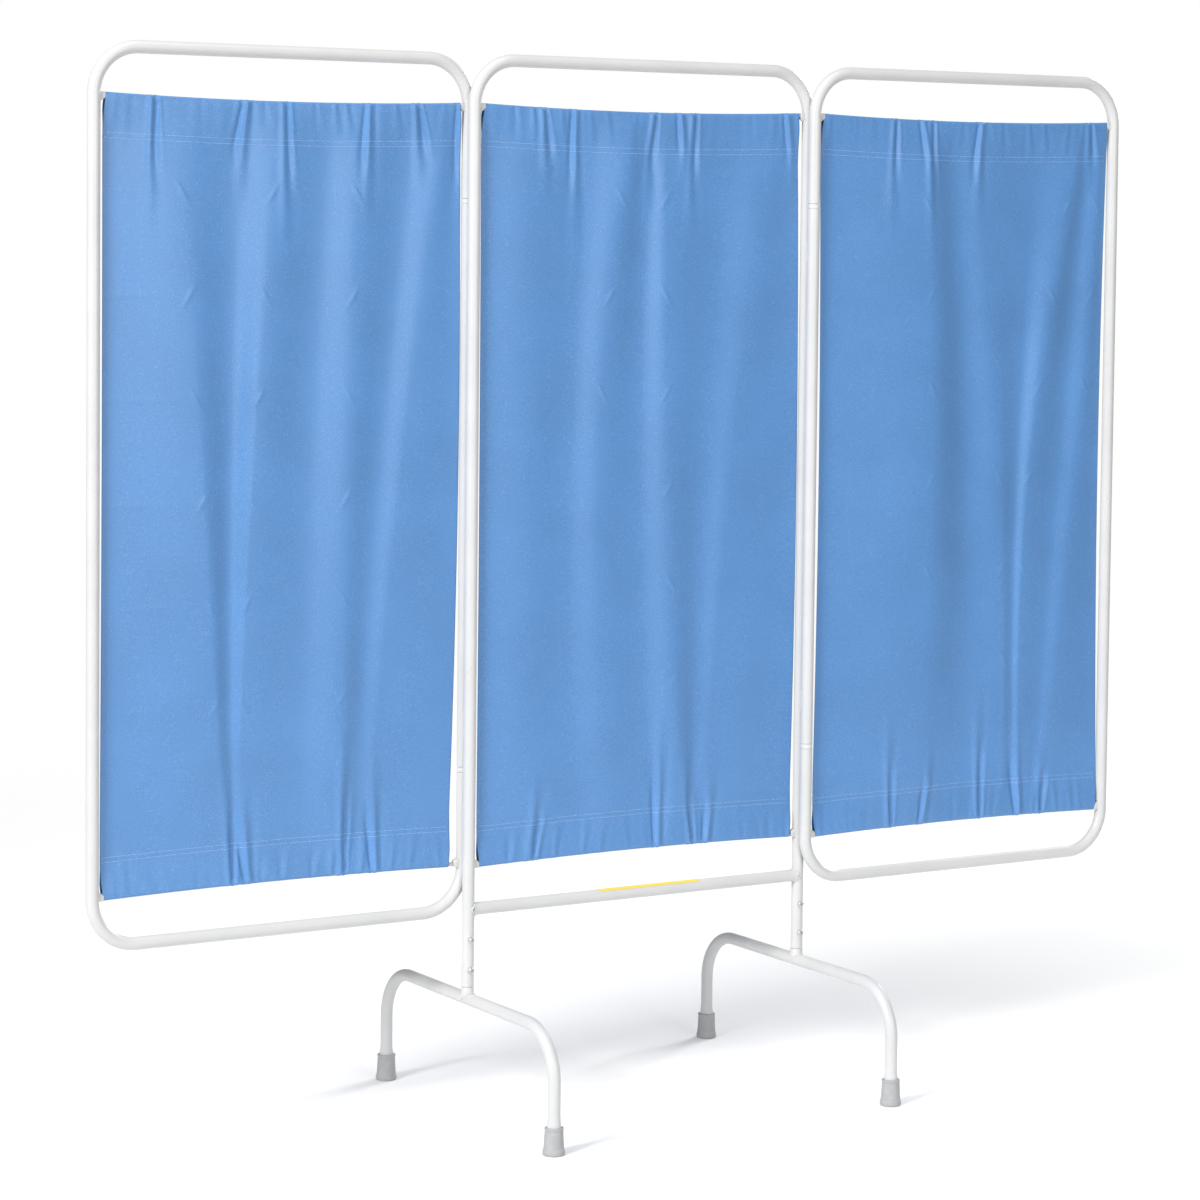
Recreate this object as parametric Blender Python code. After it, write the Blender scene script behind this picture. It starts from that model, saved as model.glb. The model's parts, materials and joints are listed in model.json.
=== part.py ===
"""Folding curtain screen: a centre panel on two arched feet, and a side panel hinged at each stile.

Units are metres, +Z is up and -Y is the front. Each panel is a bent tube frame that carries a
curtain between an upper and a lower rod. The side panels swing on upright bushings: the left one
folds behind the centre panel and the right one folds in front of it.
"""
import math

import bmesh
import bpy
from mathutils import Vector

# Tube stock and the three panels
TUBE_OD = 0.021
TUBE_WALL = 0.0012
PANEL_WIDTH = 0.668          # between the axes of a panel's two stiles
TOP_RAIL_Z = 1.7655
SIDE_RAIL_Z = 0.3455         # bottom rail of a side panel
CROSS_RAIL_Z = 0.3495        # rail between the centre panel's legs
PANEL_BEND_R = 0.075

# Base: two arched foot tubes, their posts, rubber tips and screws
LEG_END_Z = 0.219
BASE_BAR_Z = 0.1985
BASE_SPREAD = 0.576          # between the axes of the front and back feet
BASE_BEND_R = 0.085
FLARE_OVER_TUBE = 0.0015     # how much the tube's end is belled out, on the radius
FLARE_HEIGHT = 0.018         # bell above the rubber tip
TIP_HEIGHT = 0.045
TIP_FLOOR = 0.008
TIP_WALL = 0.003
TIP_SPREAD = 0.0028          # how much wider the tip is at the floor, on the radius
TIP_SOLE = 0.008             # height at which the tip starts to narrow
TIP_EDGE = 0.002             # bevel at the floor and the rim
TIP_LIP = 0.001              # thickness the rim's bevel takes
POST_WALL = 0.002
POST_SPIGOT = 0.108          # length inside the leg
POST_COLLAR_R_EXTRA = 0.0016 # weld flare at the foot of the post
POST_SINK = 0.55             # share of the tube's radius above its axis where the post starts
SCREW_DROPS = (0.028, 0.0795)  # above the leg's end
SCREW_HEAD_R = 0.0056
SCREW_HEAD_H = 0.0034
SCREW_SHANK_R = 0.0024
SCREW_REACH = 0.006          # shank inside the leg's surface
SCREW_DOME = ((1.0, 0.45), (0.86, 0.85), (0.6, 1.0))  # radius and height, as shares of the head's
RECESS_HALF_W = 0.0007
RECESS_REACH = 0.0026
RECESS_DEPTH = 0.0016

# Hinges: the middle of each side panel's inner stile is a tube fixed to the centre panel
HINGE_GAP = 0.0011
HINGE_LOW_ABOVE_RAIL = 0.237  # collar's middle above the side panel's bottom rail
HINGE_HIGH_BELOW_RAIL = 0.234
COLLAR_HEIGHT = 0.0086
COLLAR_INSET = 0.0001
BUSHING_SPIGOT = 0.026
BUSHING_BORE_R = 0.0045
WELD_LENGTH = 0.040
WELD_HALF_WIDTH = 0.004
WELD_FROM_COLLAR = 0.080
WELD_FROM_AXIS = 0.25        # share of the two tubes' distance at which the uncoped bead starts

# Rods, their hooks and the curtains
ROD_OD = 0.0064
TOP_ROD_BELOW_BEND = 0.001
LOW_ROD_ABOVE_BEND = 0.003   # over the bends of a side panel's bottom rail
TOP_BOW = 0.007
LOW_BOW = 0.005
ROD_END_GAP = 0.002          # between the rod's end and the stile
HOOK_REACH = 0.0075          # from the stile's surface
HOOK_HALF_WIDTH = 0.005
HOOK_LIP = 0.0045            # past the rod's axis, on the open side
HOOK_ROOT = 0.0115           # past the rod's axis, on the closed side, at the stile
HOOK_TIP = 0.0060            # the same, at the free end
CURTAIN_THICKNESS = 0.012
CURTAIN_OVER_ROD = 0.0012    # cloth wall round the rod
CURTAIN_ROUND = 0.002
CURTAIN_CLEAR = 0.0015       # between the curtain's edge and the hooks' tips
COPE_BEYOND_RODS = 0.05      # how far the hooks' cutter runs past the rods

# Plain marker strip on the cross rail
STRIP_LENGTH = 0.204
STRIP_SHIFT = 0.021
STRIP_THICKNESS = 0.0004
STRIP_FROM_DEG = 45.0
STRIP_TO_DEG = 130.0

# Clearances and fineness
TOUCH_GAP = 0.0003
COPE_GAP = 0.0006
ROD_CLEARANCE = 0.0003
HOOK_CLEARANCE = 0.0005
BEND_STEPS = 6
BOW_STEPS = 8
TUBE_SIDES = 16
ROD_SIDES = 8
SMOOTH_ANGLE = math.radians(40)

# Worked out from the above
TUBE_R = TUBE_OD / 2
BORE_R = TUBE_R - TUBE_WALL
HALF_PANEL = PANEL_WIDTH / 2
HINGE_OFFSET = TUBE_OD + HINGE_GAP
HINGE_LOW_Z = SIDE_RAIL_Z + HINGE_LOW_ABOVE_RAIL
HINGE_HIGH_Z = TOP_RAIL_Z - HINGE_HIGH_BELOW_RAIL
ROD_R = ROD_OD / 2
TOP_ROD_Z = TOP_RAIL_Z - PANEL_BEND_R - TOP_ROD_BELOW_BEND
LOW_ROD_Z = SIDE_RAIL_Z + PANEL_BEND_R + LOW_ROD_ABOVE_BEND
FLARE_R = TUBE_R + FLARE_OVER_TUBE
CURTAIN_EDGE = TUBE_R + HOOK_REACH + CURTAIN_CLEAR
CURTAIN_WIDTH = PANEL_WIDTH - 2 * CURTAIN_EDGE
ROD_LENGTH = PANEL_WIDTH - 2 * (TUBE_R + ROD_END_GAP)

COLOURS = {
    "white_paint": ((0.80, 0.80, 0.79), 0.38, 0.0),
    "white_nylon": ((0.82, 0.82, 0.80), 0.5, 0.0),
    "grey_rubber": ((0.36, 0.36, 0.36), 0.75, 0.0),
    "screw_steel": ((0.62, 0.62, 0.62), 0.32, 1.0),
    "rod_steel": ((0.66, 0.66, 0.66), 0.35, 1.0),
    "blue_vinyl": ((0.10, 0.30, 0.62), 0.45, 0.0),
    "yellow_film": ((0.80, 0.60, 0.05), 0.45, 0.0),
}


def clear_scene():
    """Remove every object the file opened with."""
    for old in list(bpy.data.objects):
        bpy.data.objects.remove(old, do_unlink=True)


def make_material(name, finish):
    """Return a new Principled material of one of the listed finishes."""
    colour, roughness, metallic = COLOURS[finish]
    material = bpy.data.materials.new(f"{name}_{finish}")
    material.use_nodes = True
    shader = material.node_tree.nodes["Principled BSDF"]
    shader.inputs["Base Color"].default_value = (*colour, 1.0)
    shader.inputs["Roughness"].default_value = roughness
    shader.inputs["Metallic"].default_value = metallic
    material.diffuse_color = (*colour, 1.0)
    return material


def add_object(name, mesh, finish=None, parent=None):
    """Link a mesh as a named sub-part, or as a hidden cutter when it has no finish."""
    thing = bpy.data.objects.new(name, mesh)
    bpy.context.scene.collection.objects.link(thing)
    thing.parent = parent
    if finish is None:
        thing.hide_render = True
        thing.display_type = "WIRE"
    else:
        mesh.materials.append(make_material(name, finish))
    return thing


def mesh_from(bm, name):
    """Turn a bmesh into a mesh with outward normals and sharp edges kept sharp."""
    bmesh.ops.recalc_face_normals(bm, faces=bm.faces)
    for face in bm.faces:
        face.smooth = True
    for edge in bm.edges:
        edge.smooth = edge.calc_face_angle(0.0) < SMOOTH_ANGLE
    mesh = bpy.data.meshes.new(name)
    bm.to_mesh(mesh)
    bm.free()
    return mesh


def loft(name, rings):
    """Skin a row of equal rings and cap both ends."""
    bm = bmesh.new()
    rows = [[bm.verts.new(point) for point in ring] for ring in rings]
    for row, after in zip(rows, rows[1:]):
        for i, vert in enumerate(row):
            j = (i + 1) % len(row)
            bm.faces.new((vert, row[j], after[j], after[i]))
    bm.faces.new(rows[0])
    bm.faces.new(reversed(rows[-1]))
    return mesh_from(bm, name)


def lathe(name, profile, closed, sides=TUBE_SIDES):
    """Spin an outline of (radius, height) points round the Z axis."""
    bm = bmesh.new()
    verts = [bm.verts.new((radius, 0.0, height)) for radius, height in profile]
    pairs = list(zip(verts, verts[1:]))
    if closed:
        pairs.append((verts[-1], verts[0]))
    edges = [bm.edges.new(pair) for pair in pairs]
    bmesh.ops.spin(bm, geom=verts + edges, cent=(0, 0, 0), axis=(0, 0, 1), angle=math.tau, steps=sides,
                   use_merge=True)
    bmesh.ops.remove_doubles(bm, verts=bm.verts, dist=1e-6)
    return mesh_from(bm, name)


def circle(radius, sides, phase=0.0):
    """Points of a circle in a plane, as (across, up) pairs."""
    turns = [phase + math.tau * i / sides for i in range(sides)]
    return [(radius * math.cos(turn), radius * math.sin(turn)) for turn in turns]


def bent_path(corners, bend_r):
    """Replace each inner corner of a route by an arc of the bend radius."""
    points = [Vector(corners[0])]
    for before, corner, after in zip(corners, corners[1:], corners[2:]):
        corner = Vector(corner)
        back = (Vector(before) - corner).normalized()
        ahead = (Vector(after) - corner).normalized()
        centre = corner + (back + ahead) * bend_r
        for step in range(BEND_STEPS + 1):
            turn = math.pi / 2 * step / BEND_STEPS
            points.append(centre - ahead * bend_r * math.cos(turn) - back * bend_r * math.sin(turn))
    points.append(Vector(corners[-1]))
    return points


def tube(name, points, finish, parent=None, radii=None):
    """Sweep a hollow round tube along a route; radii scale the tube at each point."""
    curve = bpy.data.curves.new(name, "CURVE")
    curve.dimensions = "3D"
    curve.bevel_depth = TUBE_R
    curve.bevel_resolution = TUBE_SIDES // 2 - 2
    spline = curve.splines.new("POLY")
    spline.points.add(len(points) - 1)
    for i, point in enumerate(points):
        spline.points[i].co = (*point, 1.0)
        spline.points[i].radius = radii[i] / TUBE_R if radii else 1.0
    sweep = bpy.data.objects.new(name + "_sweep", curve)
    mesh = bpy.data.meshes.new_from_object(sweep)
    bpy.data.objects.remove(sweep)
    mesh.materials.clear()
    mesh.shade_smooth()
    frame = add_object(name, mesh, finish, parent)
    wall = frame.modifiers.new("wall", "SOLIDIFY")
    wall.thickness = TUBE_WALL
    wall.offset = -1.0
    wall.use_even_offset = True
    return frame


def cut(target, cutter):
    """Take one solid away from another."""
    step = target.modifiers.new("cut_" + cutter.name, "BOOLEAN")
    step.operation = "DIFFERENCE"
    step.object = cutter


def upright_cutter(name, x, y, radius, low, high, parent=None):
    """A round upright cutter that copes what butts against a stile."""
    ring = circle(radius, TUBE_SIDES * 2)
    return add_object(name, loft(name, [[(x + a, y + b, z) for a, b in ring] for z in (low, high)]), None, parent)


def bow_at(x, middle, span, bow):
    """How far a bowed rod has moved from its ends' height at x."""
    return bow * (1.0 - (2.0 * (x - middle) / span) ** 2)


def bowed_bar(name, radius, middle, length, height, bow, sides=ROD_SIDES):
    """A round bar along X whose middle is bowed up or down."""
    rings = []
    for step in range(BOW_STEPS + 1):
        x = middle + length * (step / BOW_STEPS - 0.5)
        z = height + bow_at(x, middle, ROD_LENGTH, bow)
        rings.append([(x, a, z + b) for a, b in circle(radius, sides)])
    return loft(name, rings)


def curtain_ring(x, middle):
    """Rounded outline of the curtain's slab at x."""
    half = CURTAIN_THICKNESS / 2
    over = ROD_R + ROD_CLEARANCE + CURTAIN_OVER_ROD
    top = TOP_ROD_Z + over + bow_at(x, middle, ROD_LENGTH, -TOP_BOW)
    low = LOW_ROD_Z - over + bow_at(x, middle, ROD_LENGTH, LOW_BOW)
    inset = CURTAIN_ROUND
    return [(x, -half, low + inset), (x, -half + inset, low), (x, half - inset, low), (x, half, low + inset),
            (x, half, top - inset), (x, half - inset, top), (x, -half + inset, top), (x, -half, top - inset)]


def add_curtain(name, middle, parent):
    """A plain slab for the cloth, with a pocket for each rod."""
    steps = [middle + CURTAIN_WIDTH * (step / BOW_STEPS - 0.5) for step in range(BOW_STEPS + 1)]
    slab = add_object(name, loft(name, [curtain_ring(x, middle) for x in steps]), "blue_vinyl", parent)
    for place, height, bow in (("top", TOP_ROD_Z, -TOP_BOW), ("low", LOW_ROD_Z, LOW_BOW)):
        pocket = f"{name}_{place}_pocket"
        hole = bowed_bar(pocket, ROD_R + ROD_CLEARANCE, middle, ROD_LENGTH, height, bow, ROD_SIDES)
        cut(slab, add_object(pocket, hole, None, parent))


def rod_slot(name, middle, height, opens, parent):
    """Cutter for the notches that the rod's ends drop into; opens is +1 upward or -1 downward."""
    radius = ROD_R + HOOK_CLEARANCE
    outline = [(radius * math.cos(turn), -opens * radius * math.sin(turn))
               for turn in [math.pi * i / ROD_SIDES for i in range(ROD_SIDES + 1)]]
    outline += [(-radius, opens * 2 * HOOK_ROOT), (radius, opens * 2 * HOOK_ROOT)]
    reach = ROD_LENGTH / 2 + HOOK_CLEARANCE
    rings = [[(middle + side * reach, a, height + b) for a, b in outline] for side in (-1, 1)]
    return add_object(name, loft(name, rings), None, parent)


def add_hook(name, stile_x, inward, height, opens, cutters, parent):
    """A notched lug on a stile's inner side that holds one end of a rod."""
    root = stile_x + inward * TUBE_R / 2
    tip = stile_x + inward * (TUBE_R + HOOK_REACH)
    lip = opens * HOOK_LIP
    outline = [(root, -opens * HOOK_ROOT), (tip, -opens * HOOK_TIP), (tip, lip), (root, lip)]
    rings = [[(x, y, height + z) for x, z in outline] for y in (-HOOK_HALF_WIDTH, HOOK_HALF_WIDTH)]
    lug = add_object(name, loft(name, rings), "white_paint", parent)
    for cutter in cutters:
        cut(lug, cutter)


def hang_curtain(panel, middle, parent, sides):
    """Add a panel's two rods, four hooks and curtain; sides names its stiles at low X and high X."""
    stiles = {sides[0]: (middle - HALF_PANEL, 1), sides[1]: (middle + HALF_PANEL, -1)}
    low = LOW_ROD_Z - COPE_BEYOND_RODS
    high = TOP_ROD_Z + COPE_BEYOND_RODS
    copes = {side: upright_cutter(f"{panel}_{side}_cope", x, 0.0, TUBE_R + COPE_GAP, low, high, parent)
             for side, (x, _) in stiles.items()}
    for place, height, bow, opens in (("top", TOP_ROD_Z, -TOP_BOW, 1), ("low", LOW_ROD_Z, LOW_BOW, -1)):
        rod = bowed_bar(f"{panel}_{place}_rod", ROD_R, middle, ROD_LENGTH, height, bow)
        add_object(f"{panel}_{place}_rod", rod, "rod_steel", parent)
        slot = rod_slot(f"{panel}_{place}_slot", middle, height, opens, parent)
        for side, (x, inward) in stiles.items():
            add_hook(f"{panel}_{place}_hook_{side}", x, inward, height, opens, (copes[side], slot), parent)
    add_curtain(f"{panel}_curtain", middle, parent)


def add_centre_frame():
    """The inverted U of the centre panel, drilled for the base screws."""
    route = [(-HALF_PANEL, 0, LEG_END_Z), (-HALF_PANEL, 0, TOP_RAIL_Z), (HALF_PANEL, 0, TOP_RAIL_Z),
             (HALF_PANEL, 0, LEG_END_Z)]
    return tube("centre_frame", bent_path(route, PANEL_BEND_R), "white_paint")


def add_cross_rail():
    """The rail between the legs, coped to them, with its plain marker strip."""
    rail = tube("cross_rail", [Vector((-HALF_PANEL, 0, CROSS_RAIL_Z)), Vector((HALF_PANEL, 0, CROSS_RAIL_Z))],
                "white_paint")
    for side, x in (("left", -HALF_PANEL), ("right", HALF_PANEL)):
        cut(rail, upright_cutter(f"cross_rail_{side}_cope", x, 0.0, TUBE_R + TOUCH_GAP, CROSS_RAIL_Z - TUBE_OD,
                                 CROSS_RAIL_Z + TUBE_OD))
    inner = TUBE_R + TOUCH_GAP
    outer = inner + STRIP_THICKNESS
    turns = [math.radians(STRIP_FROM_DEG + (STRIP_TO_DEG - STRIP_FROM_DEG) * i / BEND_STEPS)
             for i in range(BEND_STEPS + 1)]
    outline = [(outer * math.cos(t), outer * math.sin(t)) for t in turns]
    outline += [(inner * math.cos(t), inner * math.sin(t)) for t in reversed(turns)]
    ends = [STRIP_SHIFT + side * STRIP_LENGTH / 2 for side in (-1, 1)]
    rings = [[(x, a, CROSS_RAIL_Z + b) for a, b in outline] for x in ends]
    add_object("marker_strip", loft("marker_strip", rings), "yellow_film")


def add_foot_tube(side, x):
    """One arched base tube from front to back, belled out at its ends."""
    half = BASE_SPREAD / 2
    end = TIP_FLOOR + TOUCH_GAP
    bell = TIP_HEIGHT
    straight = TIP_HEIGHT + FLARE_HEIGHT
    arch = bent_path([(x, -half, straight), (x, -half, BASE_BAR_Z), (x, half, BASE_BAR_Z), (x, half, straight)],
                     BASE_BEND_R)
    front = [Vector((x, -half, end)), Vector((x, -half, bell))]
    back = [Vector((x, half, bell)), Vector((x, half, end))]
    radii = [FLARE_R, FLARE_R] + [TUBE_R] * len(arch) + [FLARE_R, FLARE_R]
    tube(f"base_tube_{side}", front + arch + back, "white_paint", radii=radii)


def add_tip(side, end, x, y):
    """A rubber cup on one end of a base tube."""
    socket = FLARE_R + TOUCH_GAP
    top = socket + TIP_WALL
    foot = top + TIP_SPREAD
    outline = [(0.0, 0.0), (foot - TIP_EDGE, 0.0), (foot, TIP_EDGE), (foot, TIP_SOLE), (top, TIP_HEIGHT - TIP_EDGE),
               (top - TIP_LIP, TIP_HEIGHT), (socket, TIP_HEIGHT), (socket, TIP_FLOOR), (0.0, TIP_FLOOR)]
    tip = add_object(f"foot_tip_{end}_{side}", lathe(f"foot_tip_{end}_{side}", outline, False), "grey_rubber")
    tip.location = (x, y, 0.0)


def add_post(side, x, holes):
    """The upright stub on a base tube: a short collar, and a spigot inside the leg."""
    spigot = BORE_R - TOUCH_GAP
    collar_top = LEG_END_Z - TOUCH_GAP
    foot = BASE_BAR_Z + TUBE_R * POST_SINK
    flare = TUBE_R + POST_COLLAR_R_EXTRA
    weld_top = BASE_BAR_Z + TUBE_R + POST_COLLAR_R_EXTRA
    top = LEG_END_Z + POST_SPIGOT
    bore = spigot - POST_WALL
    outline = [(0.0, foot), (flare, foot), (flare, weld_top), (TUBE_R, weld_top + POST_COLLAR_R_EXTRA),
               (TUBE_R, collar_top), (spigot, collar_top), (spigot, top), (bore, top), (bore, LEG_END_Z),
               (0.0, LEG_END_Z)]
    post = add_object(f"base_post_{side}", lathe(f"base_post_{side}", outline, False), "white_paint")
    post.location = (x, 0.0, 0.0)
    ring = circle(TUBE_R + TOUCH_GAP, TUBE_SIDES * 2)
    rings = [[(x + a, y, BASE_BAR_Z + b) for a, b in ring] for y in (-TUBE_OD, TUBE_OD)]
    cut(post, add_object(f"base_post_{side}_saddle", loft(f"base_post_{side}_saddle", rings)))
    for hole in holes:
        cut(post, hole)


def cross_outline():
    """The screw's cross recess, as 24 points that run round with the head."""
    w, r = RECESS_HALF_W, RECESS_REACH
    arm = [(r, -w), (r, 0.0), (r, w), ((r + w) / 2, w), (w, w), (w, (r + w) / 2)]
    points = []
    for quarter in range(4):
        turn = math.pi / 2 * quarter
        points += [(a * math.cos(turn) - b * math.sin(turn), a * math.sin(turn) + b * math.cos(turn)) for a, b in arm]
    return points


def add_screw(name, x, z):
    """A pan-head screw with a cross recess, its head facing the front."""
    outline = cross_outline()
    seat = TUBE_R + TOUCH_GAP
    phase = math.atan2(outline[0][1], outline[0][0])
    turned = [(SCREW_SHANK_R, seat - SCREW_REACH), (SCREW_SHANK_R, seat), (SCREW_HEAD_R, seat)]
    turned += [(SCREW_HEAD_R * width, seat + SCREW_HEAD_H * rise) for width, rise in SCREW_DOME]
    rings = []
    for radius, depth in turned:
        rings.append([(x + a, -depth, z + b) for a, b in circle(radius, len(outline), phase)])
    for depth in (seat + SCREW_HEAD_H, seat + SCREW_HEAD_H - RECESS_DEPTH):
        rings.append([(x + a, -depth, z + b) for a, b in outline])
    add_object(name, loft(name, rings), "screw_steel")


def add_base(centre_frame):
    """Both feet with their posts, tips and screws."""
    for side, x in (("left", -HALF_PANEL), ("right", HALF_PANEL)):
        holes = []
        for place, rise in zip(("lower", "upper"), SCREW_DROPS):
            name = f"base_screw_{side}_{place}"
            ring = circle(SCREW_SHANK_R + TOUCH_GAP, ROD_SIDES)
            z = LEG_END_Z + rise
            hole = loft(name + "_hole", [[(x + a, y, z + b) for a, b in ring] for y in (-TUBE_OD, 0.0)])
            holes.append(add_object(name + "_hole", hole))
            cut(centre_frame, holes[-1])
            add_screw(name, x, z)
        add_foot_tube(side, x)
        add_post(side, x, holes)
        for end, y in (("front", -BASE_SPREAD / 2), ("back", BASE_SPREAD / 2)):
            add_tip(side, end, x, y)


def add_bushing(name, x, y, z):
    """A flanged nylon bushing: its collar shows between the fixed tube and the swinging stub."""
    collar = TUBE_R - COLLAR_INSET
    spigot = BORE_R - TOUCH_GAP
    half = COLLAR_HEIGHT / 2
    reach = half + BUSHING_SPIGOT
    outline = [(BUSHING_BORE_R, reach), (spigot, reach), (spigot, half), (collar, half), (collar, -half),
               (spigot, -half), (spigot, -reach), (BUSHING_BORE_R, -reach)]
    bushing = add_object(name, lathe(name, outline, True), "white_nylon")
    bushing.location = (x, y, z)


def add_hinge(side, x, y):
    """The fixed middle of a hinge stile, its welds to the centre panel and its two bushings."""
    half = COLLAR_HEIGHT / 2 + TOUCH_GAP
    tube(f"hinge_tube_{side}", [Vector((x, y, HINGE_LOW_Z + half)), Vector((x, y, HINGE_HIGH_Z - half))],
         "white_paint")
    reach = TUBE_R + TOUCH_GAP
    copes = [upright_cutter(f"hinge_{side}_cope_{tag}", x, centre, reach, HINGE_LOW_Z, HINGE_HIGH_Z)
             for tag, centre in (("centre", 0.0), ("panel", y))]
    for place, z in (("lower", HINGE_LOW_Z + WELD_FROM_COLLAR), ("upper", HINGE_HIGH_Z - WELD_FROM_COLLAR)):
        name = f"hinge_weld_{side}_{place}"
        near = y * WELD_FROM_AXIS
        far = y - near
        corners = [(x - WELD_HALF_WIDTH, near), (x + WELD_HALF_WIDTH, near), (x + WELD_HALF_WIDTH, far),
                   (x - WELD_HALF_WIDTH, far)]
        weld = add_object(name, loft(name, [[(a, b, z + end) for a, b in corners]
                                            for end in (-WELD_LENGTH / 2, WELD_LENGTH / 2)]), "white_paint")
        for cope in copes:
            cut(weld, cope)
    add_bushing(f"hinge_bushing_{side}_lower", x, y, HINGE_LOW_Z)
    add_bushing(f"hinge_bushing_{side}_upper", x, y, HINGE_HIGH_Z)


def add_side_panel(side, x, y, turn):
    """A side panel that hangs from an empty on its hinge axis and reaches along the empty's -X."""
    axis = bpy.data.objects.new(f"{side}_hinge_axis", None)
    bpy.context.scene.collection.objects.link(axis)
    axis.location = (x, y, 0.0)
    axis.rotation_euler = (0.0, 0.0, turn)
    stub = COLLAR_HEIGHT / 2 + TOUCH_GAP
    route = [(0, 0, HINGE_LOW_Z - stub), (0, 0, SIDE_RAIL_Z), (-PANEL_WIDTH, 0, SIDE_RAIL_Z),
             (-PANEL_WIDTH, 0, TOP_RAIL_Z), (0, 0, TOP_RAIL_Z), (0, 0, HINGE_HIGH_Z + stub)]
    tube(f"{side}_frame", bent_path(route, PANEL_BEND_R), "white_paint", axis)
    hang_curtain(side, -HALF_PANEL, axis, ("outer", "hinge"))


def main():
    """Build the whole screen."""
    clear_scene()
    centre_frame = add_centre_frame()
    add_cross_rail()
    add_base(centre_frame)
    hang_curtain("centre", 0.0, None, ("left", "right"))
    add_hinge("left", -HALF_PANEL, HINGE_OFFSET)
    add_hinge("right", HALF_PANEL, -HINGE_OFFSET)
    add_side_panel("left", -HALF_PANEL, HINGE_OFFSET, 0.0)
    add_side_panel("right", HALF_PANEL, -HINGE_OFFSET, math.pi)


main()
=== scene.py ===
"""Finished model of a folding curtain screen: tube frames, gathered vinyl curtains and arched feet."""
from __future__ import annotations

import json
import logging
import math
from collections.abc import Sequence
from dataclasses import dataclass, field
from enum import Enum

import bmesh
import bpy
import numpy as np
from mathutils import Matrix, Vector

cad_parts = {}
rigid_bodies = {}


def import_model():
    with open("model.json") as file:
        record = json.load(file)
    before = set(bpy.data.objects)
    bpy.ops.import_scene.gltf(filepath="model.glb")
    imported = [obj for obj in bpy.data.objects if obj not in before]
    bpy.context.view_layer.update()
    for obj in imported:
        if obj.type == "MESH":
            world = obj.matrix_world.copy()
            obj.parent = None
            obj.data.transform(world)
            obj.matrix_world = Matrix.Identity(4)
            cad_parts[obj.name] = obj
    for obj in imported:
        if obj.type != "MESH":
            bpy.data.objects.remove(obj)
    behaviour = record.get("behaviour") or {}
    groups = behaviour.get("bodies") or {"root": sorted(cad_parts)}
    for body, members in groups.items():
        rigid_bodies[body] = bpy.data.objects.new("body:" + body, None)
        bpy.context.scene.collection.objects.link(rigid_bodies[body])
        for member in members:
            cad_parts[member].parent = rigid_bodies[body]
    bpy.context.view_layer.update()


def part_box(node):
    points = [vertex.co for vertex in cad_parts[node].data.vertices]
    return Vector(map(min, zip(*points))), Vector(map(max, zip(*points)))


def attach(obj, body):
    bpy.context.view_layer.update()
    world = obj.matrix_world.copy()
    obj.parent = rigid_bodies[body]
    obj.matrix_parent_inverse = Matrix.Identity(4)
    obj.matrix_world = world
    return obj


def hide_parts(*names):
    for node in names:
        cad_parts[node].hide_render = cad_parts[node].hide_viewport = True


for leftover in list(bpy.data.objects):
    bpy.data.objects.remove(leftover, do_unlink=True)

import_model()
MM = 0.001
TURN = math.tau

log = logging.getLogger("screen")

Colour = tuple[float, float, float]
Point = Sequence[float]


class Slot(Enum):
    """Material slots of the record; no piece here takes its finish from them."""

    PAINT = "white_paint"
    NYLON = "white_nylon"
    RUBBER = "grey_rubber"
    SCREW = "screw_steel"
    ROD = "rod_steel"
    VINYL = "blue_vinyl"
    FILM = "yellow_film"


class Grain(Enum):
    """Ways in which a fine surface pattern runs."""

    EVEN = (1.0, 1.0, 1.0)
    ALONG_X = (0.02, 1.0, 1.0)


class Wire:
    """A shader output that takes part in Python sums."""

    def __init__(self, graph: "Graph", socket: bpy.types.NodeSocket) -> None:
        """Keep the socket and the graph it belongs to."""
        self.graph = graph
        self.socket = socket

    def _math(self, operation: str, first: object, second: object) -> "Wire":
        """Add one Math node and return its output."""
        return self.graph.node("ShaderNodeMath", {"operation": operation}, {0: first, 1: second})

    def __add__(self, other: object) -> "Wire":
        """Return self + other."""
        return self._math("ADD", self, other)

    __radd__ = __add__

    def __sub__(self, other: object) -> "Wire":
        """Return self - other."""
        return self._math("SUBTRACT", self, other)

    def __rsub__(self, other: object) -> "Wire":
        """Return other - self."""
        return self._math("SUBTRACT", other, self)

    def __mul__(self, other: object) -> "Wire":
        """Return self * other."""
        return self._math("MULTIPLY", self, other)

    __rmul__ = __mul__

    def part(self, name: str) -> "Wire":
        """Return another output of the same node."""
        return Wire(self.graph, self.socket.node.outputs[name])


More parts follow.
